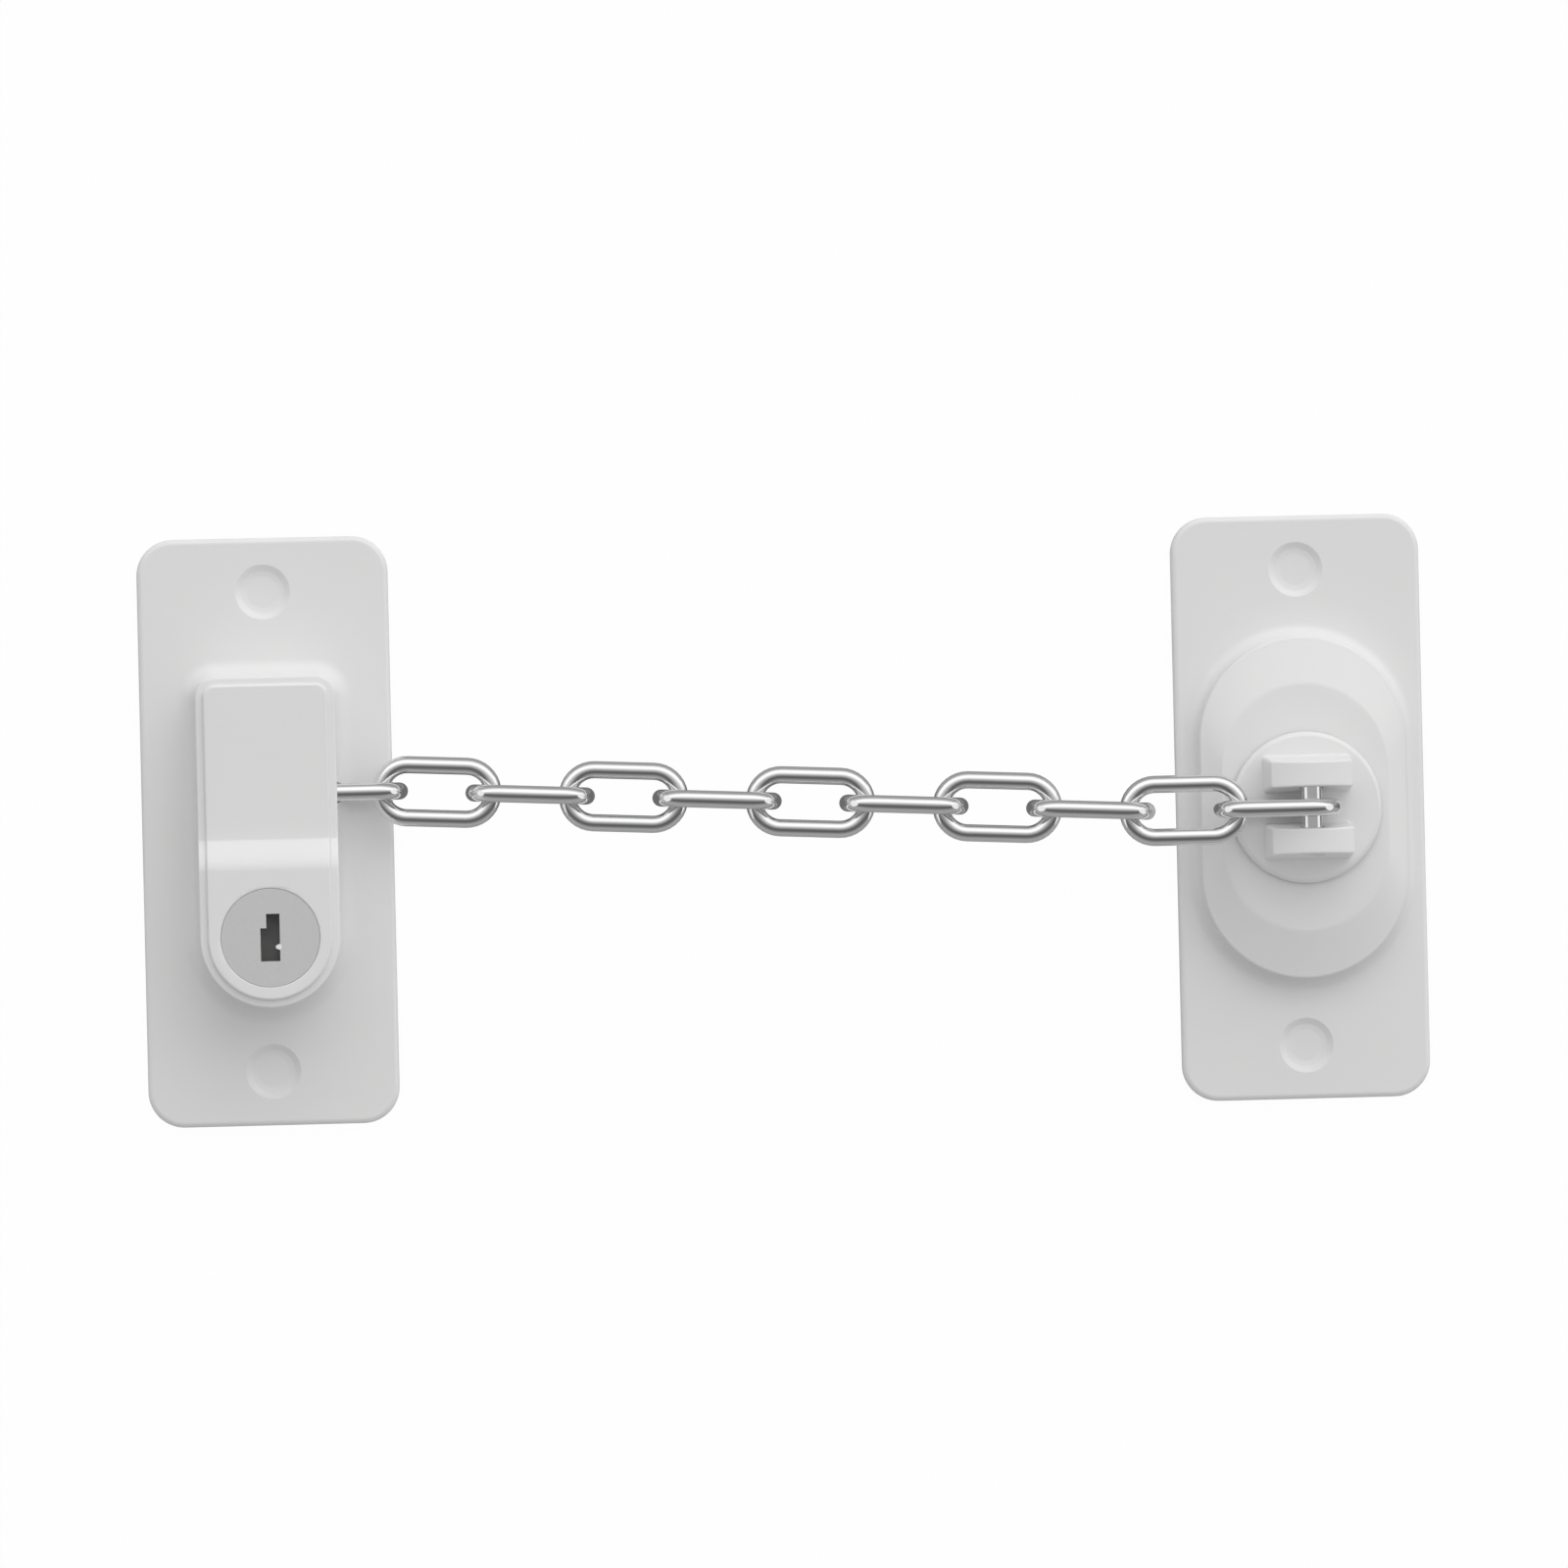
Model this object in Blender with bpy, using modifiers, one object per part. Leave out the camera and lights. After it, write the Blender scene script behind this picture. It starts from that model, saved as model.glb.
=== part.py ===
"""Window lock: a keyed lock plate and a swivel anchor plate, joined by a welded chain.

The plates lie on their backs. +X runs along the chain, from the lock to the anchor, +Y runs up
the plates, and +Z points away from the window. The origin is on the back of the lock's adhesive
pad, at the plate's centre. Lengths are in metres.
"""

import math

import bmesh
import bpy
from mathutils import Matrix, Vector

# Fits
SEAT_GAP = 0.0003
RUN_GAP = 0.0002
OVERRUN = 0.0020
BITE = 0.0006

# Both plates
PLATE_WIDTH = 0.0380
PLATE_HEIGHT = 0.0890
PLATE_CORNER = 0.0055
PLATE_THICKNESS = 0.0020
PLATE_EDGE = 0.0007
PAD_THICKNESS = 0.0008
PAD_MARGIN = 0.0012
DISH_INSET = 0.0082
DISH_RADIUS = 0.0041
DISH_FLOOR_RADIUS = 0.0030
DISH_DEPTH = 0.0008
COVER_THICKNESS = 0.0011
COVER_LIP = 0.0015
FRONT_WALL = 0.0016
SIDE_WALL = 0.0018

# Cover screws
SCREW_RADIUS = 0.0008
SCREW_LENGTH = 0.0062
SCREW_HEAD_RADIUS = 0.0018
SCREW_HEAD_HEIGHT = 0.0009
BOSS_RADIUS = 0.0020

# Chain
WIRE = 0.0026
LINK_WIDTH = 0.0106
LINK_PITCH = 0.0141
LINK_PLAY = 0.00025
LINK_COUNT = 11
SLOPING_LINKS = 8
CLIMBING_LINKS = 9
CHAIN_EXIT_Y = 0.0057
CHAIN_CLEARANCE = 0.0005
BEND_STEPS = 10

# Lock housing
HOUSING_TOP = 0.0233
HOUSING_CORNER = 0.0030
PLUG_DROP = 0.0158
SKIRT = 0.0028
STEP_TOP_Y = -0.0010
STEP_RUN = 0.0048
STEP_RISE = 0.0022
LEDGE_WIDTH = 0.0012
LEDGE_DROP = 0.0009
FACE_EDGE = 0.0003
RIB_DEPTH = 0.0017
STOP_RIB_WIDTH = 0.0019
GUIDE_RIB_DEPTH = 0.0021

# Cylinder
BARREL_RADIUS = 0.0055
SHELL_WALL = 0.0030
PLUG_FACE_SEAT = 0.0010
PLUG_SET_BACK = 0.0001
SHELL_LUG_WIDTH = 0.0030
SHELL_LUG_REACH = 0.0011
SHELL_LUG_LENGTH = 0.0035
KEYWAY_LEFT = 0.0017
KEYWAY_RIGHT = 0.0015
KEYWAY_BELOW = 0.0039
KEYWAY_ABOVE = 0.0036
KEYWAY_STEP_LEFT = 0.0008
KEYWAY_STEP_Y = 0.0013
KEYWAY_END_WEB = 0.0003
WARD_Y = -0.0014
WARD_REACH = 0.0005
WARD_HALF_HEIGHT = 0.0004
WAFER_COUNT = 4
WAFER_PITCH = 0.0017
WAFER_THICKNESS = 0.0008
WAFER_SET_IN = 0.0012
WAFER_WIDTH = 0.0053
WAFER_RIM_SIDE = 0.0006
WAFER_RIM_TOP = 0.0013
WAFER_RIM_BOTTOM = 0.0010
WAFER_TRAVEL = 0.0009
WAFER_LUG_RIM = 0.00125
WAFER_LUG_BOTTOM = 0.0009
WAFER_LUG_HEIGHT = 0.0007
SPRING_WIRE = 0.00024
SPRING_TURNS = 5
SPRING_POCKET_BOTTOM = -0.0022

# Cam and bolt
CAM_THICKNESS = 0.0024
CAM_THROW = 0.0035
CAM_PIN_RADIUS = 0.0011
CAM_REST_TURN = math.radians(-45)
TAIL_WIDTH = 0.0042
TAIL_LENGTH = 0.0011
CAM_SCREW_RADIUS = 0.0009
CAM_SCREW_GRIP = 0.0031
CAM_SCREW_HEAD_RADIUS = 0.0019
BOLT_THICKNESS = 0.0016
BOLT_WEB = 0.0014
TONGUE_WIDTH = 0.0024
TONGUE_PLAY = 0.0004
TONGUE_HEIGHT = 0.0032
TONGUE_BACK = 0.0004
TONGUE_ROOM = 0.0011
RISER_DEPTH = 0.0030
RAIL_WIDTH = 0.0011
RAIL_HEIGHT = 0.0018
RAIL_BACK_LENGTH = 0.0060
PILLAR_RADIUS = 0.0008
PILLAR_TURNS = tuple(math.radians(turn) for turn in (135, 215, 290))

# Anchor housing
BOSS_MARGIN = 0.00325
BOSS_HALF_HEIGHT = 0.0260
BOSS_SKIRT = 0.0020
BOSS_EDGE_RISE = 0.0039
BOSS_EDGE_ROUND = 0.0005
TIER_SIDE_INSET = 0.00315
TIER_END_INSET = 0.0072
TIER_RISE = 0.0022
ANCHOR_SCREW_SIDE_INSET = 0.00575
ANCHOR_SCREW_END_INSET = 0.0120

# Swivel
DISC_RADIUS = 0.0115
DISC_THICKNESS = 0.0014
DISC_EDGE = 0.0005
STEM_RADIUS = 0.0040
EAR_GAP = 0.0047
EAR_DEPTH = 0.00545
EAR_WIDTH = 0.0132
EAR_CROWN = 0.00115
EAR_ARCH_FLATNESS = 0.0059
EAR_DRAFT = 0.0003
EAR_EDGE = 0.0006
PIN_RADIUS = 0.0017
PIN_SHORT = 0.0002
WASHER_RADIUS = 0.0065
WASHER_THICKNESS = 0.0010
STEM_SCREW_RADIUS = 0.0013
STEM_SCREW_HEAD_RADIUS = 0.0026
STEM_SCREW_HEAD_HEIGHT = 0.0014
STEM_SCREW_GRIP = 0.0033

# How finely round shapes are cut up
CORNER_STEPS = 5
ROUND_STEPS = 48
SMALL_STEPS = 20
PIN_STEPS = 24
FILLET_STEPS = 4
SPRING_POINTS = 8
MERGE_DISTANCE = 0.00001
SHARP_ANGLE = math.radians(35)
STEP_SHARES = (0.0, 0.15, 0.35, 0.6, 1.0)

# Heights above the backs of the pads
PLATE_BACK = PAD_THICKNESS + SEAT_GAP
PLATE_FRONT = PLATE_BACK + PLATE_THICKNESS
COVER_FRONT = PLATE_BACK + COVER_THICKNESS
REBATE_FRONT = COVER_FRONT + SEAT_GAP
EXIT_Z = PLATE_FRONT + CHAIN_CLEARANCE + LINK_WIDTH / 2
CEILING = EXIT_Z + LINK_WIDTH / 2 + SEAT_GAP
UPPER_FACE = CEILING + FRONT_WALL
LOWER_FACE = UPPER_FACE + STEP_RISE
BOLT_BOTTOM = COVER_FRONT + SEAT_GAP
BOLT_TOP = BOLT_BOTTOM + BOLT_THICKNESS
CAM_BOTTOM = BOLT_TOP + SEAT_GAP
CAM_TOP = CAM_BOTTOM + CAM_THICKNESS
SHELL_BOTTOM = CAM_TOP + RUN_GAP
SHELL_TOP = CEILING + STEP_RISE - SEAT_GAP
PLUG_HEAD_BOTTOM = SHELL_TOP + RUN_GAP
BOSS_EDGE_Z = PLATE_FRONT + BOSS_EDGE_RISE
TIER_Z = BOSS_EDGE_Z + TIER_RISE
ANCHOR_CEILING = TIER_Z - FRONT_WALL - BITE
DISC_BACK = TIER_Z + SEAT_GAP
DISC_FRONT = DISC_BACK + DISC_THICKNESS
PIN_Z = DISC_FRONT + LINK_WIDTH / 2 + LINK_PLAY + RUN_GAP
EAR_TOP = PIN_Z + PIN_RADIUS + EAR_CROWN
STEM_END = ANCHOR_CEILING - SEAT_GAP

# Sizes that follow from the cylinder, the plate and the wire
SHELL_RADIUS = BARREL_RADIUS + SHELL_WALL
PLUG_FACE_RADIUS = SHELL_RADIUS - PLUG_FACE_SEAT
HOUSING_WIDTH = 2 * (SHELL_RADIUS + RUN_GAP + SIDE_WALL)
PILLAR_RING = SHELL_RADIUS - PILLAR_RADIUS
CAM_RADIUS = PILLAR_RING - PILLAR_RADIUS - 2 * SEAT_GAP
WAFER_LUG_REACH = BARREL_RADIUS - WAFER_WIDTH / 2 - WAFER_LUG_RIM
SPRING_RADIUS = WAFER_THICKNESS / 2
DISH_SPACING = PLATE_HEIGHT - 2 * DISH_INSET
BOSS_HALF_WIDTH = PLATE_WIDTH / 2 - BOSS_MARGIN
TIER_HALF_WIDTH = BOSS_HALF_WIDTH - TIER_SIDE_INSET
TIER_HALF_HEIGHT = BOSS_HALF_HEIGHT - TIER_END_INSET
ANCHOR_SCREW_X = BOSS_HALF_WIDTH - ANCHOR_SCREW_SIDE_INSET
ANCHOR_SCREW_Y = BOSS_HALF_HEIGHT - ANCHOR_SCREW_END_INSET
EAR_ARCH = EAR_WIDTH / 2 + EAR_ARCH_FLATNESS

# Places in the lock
PLUG_Y = -PLUG_DROP
BOLT_TRAVEL = 2 * CAM_THROW * math.sin(-CAM_REST_TURN)
INNER_LENGTH = LINK_PITCH + LINK_PLAY
INNER_HALF_WIDTH = LINK_WIDTH / 2 - WIRE
HINGE_SET_BACK = WIRE / 2 + LINK_PLAY
TONGUE_RIGHT = HOUSING_WIDTH / 2 - SIDE_WALL - TONGUE_ROOM
TONGUE_LEFT = TONGUE_RIGHT - TONGUE_WIDTH
BOW_X = TONGUE_LEFT - TONGUE_PLAY + math.sqrt(INNER_HALF_WIDTH ** 2 - (TONGUE_HEIGHT / 2) ** 2)
CHAIN_START = BOW_X - LINK_WIDTH / 2
FIRST_HINGE_X = CHAIN_START + WIRE + HINGE_SET_BACK
RISER_FRONT_Y = PLUG_Y + SHELL_RADIUS + RISER_DEPTH
LOWER_RIB_FACE = CHAIN_EXIT_Y - WIRE / 2 - RUN_GAP
UPPER_RIB_FACE = CHAIN_EXIT_Y + WIRE / 2 + RUN_GAP
LOCK_SCREWS = (
    (-HOUSING_WIDTH / 2 + SIDE_WALL + BOSS_RADIUS + BITE, HOUSING_TOP - SIDE_WALL - BOSS_RADIUS - BITE),
    (HOUSING_WIDTH / 2 - SIDE_WALL - BOSS_RADIUS - BITE, HOUSING_TOP - SIDE_WALL - BOSS_RADIUS - BITE),
    (-HOUSING_WIDTH / 2 + SIDE_WALL + BOSS_RADIUS + BITE, BOSS_RADIUS + STEP_TOP_Y - SEAT_GAP),
)
STOP_FACE = CHAIN_START - SEAT_GAP

# Colour, roughness and metallic value of each finish
WHITE_PLASTIC = ((0.80, 0.80, 0.80, 1.0), 0.42, 0.0)
FOAM = ((0.62, 0.62, 0.60, 1.0), 0.90, 0.0)
SATIN_ZINC = ((0.46, 0.46, 0.46, 1.0), 0.45, 0.7)
BRIGHT_STEEL = ((0.72, 0.72, 0.72, 1.0), 0.15, 1.0)
BRASS = ((0.62, 0.48, 0.22, 1.0), 0.35, 1.0)


# Scene and materials

def clear_scene():
    """Removes every object, so that the script can be run again."""
    for item in list(bpy.data.objects):
        bpy.data.objects.remove(item, do_unlink=True)


def new_collection(name):
    """A collection linked to the scene."""
    group = bpy.data.collections.get(name) or bpy.data.collections.new(name)
    if group.name not in bpy.context.scene.collection.children:
        bpy.context.scene.collection.children.link(group)
    return group


clear_scene()
PARTS = new_collection("window_lock")
CUTTERS = new_collection("cutters")


def finish(item, look):
    """Gives the object its own Principled material."""
    colour, roughness, metallic = look
    material = bpy.data.materials.new(item.name + "_finish")
    material.use_nodes = True
    shader = material.node_tree.nodes["Principled BSDF"]
    shader.inputs["Base Color"].default_value = colour
    shader.inputs["Roughness"].default_value = roughness
    shader.inputs["Metallic"].default_value = metallic
    material.diffuse_color = colour
    item.data.materials.clear()
    item.data.materials.append(material)
    return item


def place(name, data, centre=(0, 0, 0), turn=None):
    """An object in the parts' collection, at a place and a turn."""
    item = bpy.data.objects.new(name, data)
    item.location = centre
    if turn is not None:
        item.rotation_euler = turn.to_euler()
    PARTS.objects.link(item)
    return item


def as_tool(item):
    """Moves an object to the cutters' collection, out of the render."""
    for group in list(item.users_collection):
        group.objects.unlink(item)
    CUTTERS.objects.link(item)
    item.hide_render = True
    item.display_type = "WIRE"
    return item


def combine(target, tool, operation):
    """A live Boolean of the target with a tool object."""
    as_tool(tool)
    boolean = target.modifiers.new(tool.name, "BOOLEAN")
    boolean.operation = operation
    boolean.solver = "EXACT"
    boolean.object = tool
    return target


def cut(target, *tools):
    """Takes each tool's shape away from the target."""
    for tool in tools:
        combine(target, tool, "DIFFERENCE")
    return target


def join(target, *tools):
    """Adds each tool's shape to the target."""
    for tool in tools:
        combine(target, tool, "UNION")
    return target


# Basic shapes, each given in the part's own frame

def from_bmesh(name, bm, origin=(0, 0, 0)):
    """An object whose mesh is moved so that its origin lies at the given place."""
    bmesh.ops.translate(bm, verts=bm.verts, vec=-Vector(origin))
    bmesh.ops.recalc_face_normals(bm, faces=bm.faces)
    mesh = bpy.data.meshes.new(name)
    bm.to_mesh(mesh)
    bm.free()
    mesh.shade_smooth()
    mesh.set_sharp_from_angle(angle=SHARP_ANGLE)
    return place(name, mesh, origin)


def box(name, low, high, origin=(0, 0, 0)):
    """A cuboid between two corners."""
    low, high = Vector(low), Vector(high)
    bm = bmesh.new()
    bmesh.ops.create_cube(bm, size=1)
    bmesh.ops.scale(bm, verts=bm.verts, vec=high - low)
    bmesh.ops.translate(bm, verts=bm.verts, vec=(low + high) / 2)
    return from_bmesh(name, bm, origin)


def bar(name, radius, start, end, steps=SMALL_STEPS, end_radius=None, origin=(0, 0, 0)):
    """A round bar or cone between two points."""
    start, end = Vector(start), Vector(end)
    bm = bmesh.new()
    bmesh.ops.create_cone(bm, cap_ends=True, segments=steps, radius1=radius,
                          radius2=radius if end_radius is None else end_radius,
                          depth=(end - start).length)
    turn = (end - start).to_track_quat("Z", "Y").to_matrix().to_4x4()
    bmesh.ops.transform(bm, verts=bm.verts, matrix=Matrix.Translation((start + end) / 2) @ turn)
    return from_bmesh(name, bm, origin)


def turned(name, profile, centre=(0, 0), steps=ROUND_STEPS):
    """A shape turned about an upright axis, from (radius, height) points, top to bottom."""
    mesh = bpy.data.meshes.new(name)
    points = [(radius, 0, height) for radius, height in profile]
    edges = [(index, index + 1) for index in range(len(points) - 1)]
    mesh.from_pydata(points, edges, [])
    item = place(name, mesh, (centre[0], centre[1], 0))
    screw = item.modifiers.new("turn", "SCREW")
    screw.axis = "Z"
    screw.angle = math.tau
    screw.steps = steps
    screw.render_steps = steps
    screw.use_merge_vertices = True
    screw.merge_threshold = MERGE_DISTANCE
    screw.use_smooth_shade = True
    return item


def stack(name, rings, marks=(), origin=(0, 0, 0)):
    """A closed loft through rings of equally many points, with its last ring split at the marks.

    Each mark is a pair of point numbers that lie across from each other on the ring."""
    bm = bmesh.new()
    loops = [[bm.verts.new(point) for point in ring] for ring in rings]
    count = len(loops[0])
    for lower, upper in zip(loops, loops[1:]):
        for index in range(count):
            after = (index + 1) % count
            bm.faces.new((lower[index], lower[after], upper[after], upper[index]))
    bm.faces.new(list(reversed(loops[0])))
    last = loops[-1]
    if not marks:
        bm.faces.new(last)
    for (right, left), (next_right, next_left) in zip(marks, marks[1:]):
        bm.faces.new((last[next_right], last[right], last[left], last[next_left]))
    if marks:
        right, left = marks[0]
        bm.faces.new(last[right:left + 1])
        right, left = marks[-1]
        bm.faces.new(last[left:] + last[:right + 1])
    return from_bmesh(name, bm, origin)


def arc(centre_x, centre_y, radius, start, stop, steps):
    """Points along an arc, with both ends, angles in degrees."""
    angles = [math.radians(start + (stop - start) * step / steps) for step in range(steps + 1)]
    return [(centre_x + radius * math.cos(a), centre_y + radius * math.sin(a)) for a in angles]


def rounded_rectangle(half_width, half_height, radius, centre_x=0.0):
    """A rectangle with four round corners, anticlockwise."""
    points = []
    for quarter, (side, end) in enumerate(((1, 1), (-1, 1), (-1, -1), (1, -1))):
        points += arc(centre_x + side * (half_width - radius), end * (half_height - radius),
                      radius, 90 * quarter, 90 * quarter + 90, CORNER_STEPS)
    return points


def oblong(half_width, half_height, centre_x=0.0):
    """A stadium, round at both ends, anticlockwise."""
    straight = half_height - half_width
    upper = arc(centre_x, straight, half_width, 0, 180, ROUND_STEPS // 2)
    lower = arc(centre_x, -straight, half_width, 180, 360, ROUND_STEPS // 2)
    return upper + lower


def at_height(points, height):
    """The flat points at one height."""
    return [(x, y, height) for x, y in points]


def fillet(radius, rise_from):
    """Offsets and heights up a hollow quarter circle, from the flat to the wall."""
    turns = [math.pi / 2 * step / FILLET_STEPS for step in range(FILLET_STEPS + 1)]
    return [(radius * (1 - math.sin(turn)), rise_from + radius * (1 - math.cos(turn))) for turn in turns]


# Plates, covers, pads and screws

def flange(name, centre_x):
    """The flat plate with round corners and a rounded front edge."""
    half_width, half_height = PLATE_WIDTH / 2, PLATE_HEIGHT / 2
    rings = [at_height(rounded_rectangle(half_width, half_height, PLATE_CORNER, centre_x), PLATE_BACK)]
    for step in range(FILLET_STEPS):
        turn = math.pi / 2 * step / (FILLET_STEPS - 1)
        inset = PLATE_EDGE * (1 - math.cos(turn))
        height = PLATE_FRONT - PLATE_EDGE * (1 - math.sin(turn))
        outline = rounded_rectangle(half_width - inset, half_height - inset, PLATE_CORNER - inset, centre_x)
        rings.append(at_height(outline, height))
    return stack(name, rings)


def cut_dishes(target, centre_x):
    """Sinks the two blind screw dishes into a flange."""
    flare = (DISH_RADIUS - DISH_FLOOR_RADIUS) / DISH_DEPTH
    floor = PLATE_FRONT - DISH_DEPTH
    profile = [
        (0, PLATE_FRONT + OVERRUN),
        (DISH_RADIUS + flare * OVERRUN, PLATE_FRONT + OVERRUN),
        (DISH_FLOOR_RADIUS, floor),
        (0, floor),
    ]
    for side, end in (("upper", 1), ("lower", -1)):
        centre = (centre_x, end * DISH_SPACING / 2)
        dish = turned(f"{target.name}_{side}_dish", profile, centre, SMALL_STEPS)
        cut(target, dish)
    return target


def adhesive_pad(name, centre_x):
    """The foam tape on a plate's back."""
    outline = rounded_rectangle(PLATE_WIDTH / 2 - PAD_MARGIN, PLATE_HEIGHT / 2 - PAD_MARGIN,
                                PLATE_CORNER - PAD_MARGIN, centre_x)
    pad = stack(name, [at_height(outline, 0.0), at_height(outline, PAD_THICKNESS)])
    return finish(pad, FOAM)


def screw_boss(name, x, y, top):
    """A round post for a cover screw, from the cover's rebate up into the ceiling."""
    return bar(name, BOSS_RADIUS, (x, y, REBATE_FRONT + BITE / 2), (x, y, top))


def cover_screw_hole(name, x, y, radius_gap, length):
    """The room for a countersunk screw that comes from the back."""
    head = SCREW_HEAD_RADIUS + radius_gap
    shank = SCREW_RADIUS + radius_gap
    profile = [
        (0, PLATE_BACK + length),
        (shank, PLATE_BACK + length),
        (shank, PLATE_BACK + SCREW_HEAD_HEIGHT),
        (head, PLATE_BACK),
        (head, PLATE_BACK - OVERRUN),
        (0, PLATE_BACK - OVERRUN),
    ]
    return turned(name, profile, (x, y), SMALL_STEPS)


def cover_screw(name, x, y, length):
    """A countersunk screw in a back cover, its head flush with the back."""
    sunk = PLATE_BACK + RUN_GAP / 2
    profile = [
        (0, sunk + length),
        (SCREW_RADIUS - RUN_GAP, sunk + length),
        (SCREW_RADIUS, sunk + length - SCREW_RADIUS),
        (SCREW_RADIUS, sunk + SCREW_HEAD_HEIGHT),
        (SCREW_HEAD_RADIUS, sunk),
        (0, sunk),
    ]
    return finish(turned(name, profile, (x, y), SMALL_STEPS), BRIGHT_STEEL)


# Lock housing

def front_height(y):
    """Height of the housing's front at a place along the plate, round over the step."""
    share = min(max((STEP_TOP_Y - y) / STEP_RUN, 0.0), 1.0)
    return UPPER_FACE + STEP_RISE * (1 - (1 - share) ** 2)


def housing_outline(offset):
    """The housing's outline grown by an offset, and its marks across the step.

    It runs anticlockwise from the foot of the right side. The top corners are square with a
    radius, and the bottom is a half circle about the plug."""
    half_width = HOUSING_WIDTH / 2 + offset
    top = HOUSING_TOP + offset
    corner = HOUSING_CORNER + offset
    stations = [STEP_TOP_Y - STEP_RUN * share for share in STEP_SHARES]
    right = [(half_width, PLUG_Y)] + [(half_width, y) for y in reversed(stations)]
    upper = arc(half_width - corner, top - corner, corner, 0, 90, CORNER_STEPS)
    upper += arc(corner - half_width, top - corner, corner, 90, 180, CORNER_STEPS)
    left = [(-half_width, y) for y in stations]
    lower = arc(0.0, PLUG_Y, half_width, 180, 360, ROUND_STEPS // 2)[:-1]
    points = right + upper + left + lower
    last_right, first_left = len(right) - 1, len(right) + len(upper)
    marks = [(last_right - step, first_left + step) for step in range(len(stations))]
    return points, marks


def housing_ring(offset, height=None, drop=0.0):
    """One ring of the housing: flat at a height, or a drop below its stepped front."""
    points, _ = housing_outline(offset)
    if height is not None:
        return at_height(points, height)
    return [(x, y, front_height(y) - drop) for x, y in points]


def housing_block():
    """The outer shape of the stepped block with its hollow skirt and its ledge."""
    rings = [housing_ring(SKIRT, PLATE_BACK + PLATE_THICKNESS / 2)]
    rings += [housing_ring(offset, height) for offset, height in fillet(SKIRT, PLATE_FRONT + RUN_GAP / 2)]
    rings.append(housing_ring(0.0, drop=LEDGE_DROP + FACE_EDGE))
    rings.append(housing_ring(-FACE_EDGE, drop=LEDGE_DROP))
    rings.append(housing_ring(-LEDGE_WIDTH, drop=LEDGE_DROP))
    rings.append(housing_ring(-LEDGE_WIDTH, drop=FACE_EDGE))
    rings.append(housing_ring(-LEDGE_WIDTH - FACE_EDGE, drop=0.0))
    _, marks = housing_outline(0.0)
    return stack("lock_block", rings, marks)


def housing_hollow():
    """The room inside the housing, open at the back."""
    rings = [
        housing_ring(-SIDE_WALL, PLATE_BACK - OVERRUN),
        housing_ring(-SIDE_WALL, drop=FRONT_WALL),
    ]
    _, marks = housing_outline(0.0)
    return stack("lock_hollow", rings, marks)


def lock_rebate():
    """The shallow seat for the back cover."""
    offset = COVER_LIP - SIDE_WALL
    rings = [housing_ring(offset, PLATE_BACK - OVERRUN), housing_ring(offset, REBATE_FRONT)]
    return stack("lock_rebate", rings)


def lock_housing():
    """The white moulding of the lock side."""
    body = flange("lock_housing", 0.0)
    cut_dishes(body, 0.0)
    join(body, housing_block())
    cut(body, housing_hollow(), lock_rebate())

    post_bottom = REBATE_FRONT + BITE / 2
    post_top = CEILING + FRONT_WALL / 2
    inner_right = HOUSING_WIDTH / 2 - SIDE_WALL / 2
    stop_left = STOP_FACE - STOP_RIB_WIDTH
    lower_rib = box("lower_guide_rib", (stop_left, LOWER_RIB_FACE - RIB_DEPTH, post_bottom),
                    (inner_right, LOWER_RIB_FACE, post_top))
    upper_rib = box("upper_guide_rib", (stop_left, UPPER_RIB_FACE, post_bottom),
                    (inner_right, UPPER_RIB_FACE + GUIDE_RIB_DEPTH, post_top))
    stop_rib = box("link_stop_rib", (stop_left, LOWER_RIB_FACE - RIB_DEPTH / 2, post_bottom),
                   (STOP_FACE, UPPER_RIB_FACE + GUIDE_RIB_DEPTH / 2, post_top))
    join(lower_rib, upper_rib, stop_rib)
    join(body, lower_rib)
    for number, (x, y) in enumerate(LOCK_SCREWS, 1):
        join(body, screw_boss(f"lock_boss_{number}", x, y, post_top))
    lug_room = SHELL_LUG_WIDTH / 2 + RUN_GAP
    lug_y = PLUG_Y + SHELL_RADIUS
    for side, name in ((-1, "left"), (1, "right")):
        near, far = side * lug_room, side * (lug_room + RAIL_WIDTH)
        rib = box(f"shell_{name}_rib",
                  (min(near, far), lug_y + RUN_GAP, SHELL_TOP - SHELL_LUG_LENGTH),
                  (max(near, far), lug_y + SHELL_LUG_REACH + BITE, front_height(lug_y) - FRONT_WALL / 2))
        join(body, rib)

    mouth = box("chain_mouth",
                (HOUSING_WIDTH / 2 - SIDE_WALL - BITE, CHAIN_EXIT_Y - WIRE / 2 - SEAT_GAP,
                 PLATE_FRONT + CHAIN_CLEARANCE / 2),
                (HOUSING_WIDTH / 2 + SKIRT + OVERRUN, CHAIN_EXIT_Y + WIRE / 2 + SEAT_GAP,
                 EXIT_Z + LINK_WIDTH / 2 + RUN_GAP))
    tongue_way = box("tongue_way",
                     (TONGUE_LEFT - RUN_GAP, LOWER_RIB_FACE - RIB_DEPTH - OVERRUN, PLATE_BACK - OVERRUN),
                     (TONGUE_RIGHT + RUN_GAP, UPPER_RIB_FACE + GUIDE_RIB_DEPTH + OVERRUN,
                      EXIT_Z + TONGUE_HEIGHT / 2 + RUN_GAP))
    plug_bore = bar("plug_bore", PLUG_FACE_RADIUS + RUN_GAP, (0, PLUG_Y, SHELL_TOP),
                    (0, PLUG_Y, LOWER_FACE + OVERRUN), ROUND_STEPS)
    cut(body, mouth, tongue_way, plug_bore)
    for number, (x, y) in enumerate(LOCK_SCREWS, 1):
        cut(body, cover_screw_hole(f"lock_boss_hole_{number}", x, y, RUN_GAP, SCREW_LENGTH + BITE))
    return finish(body, WHITE_PLASTIC)


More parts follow.
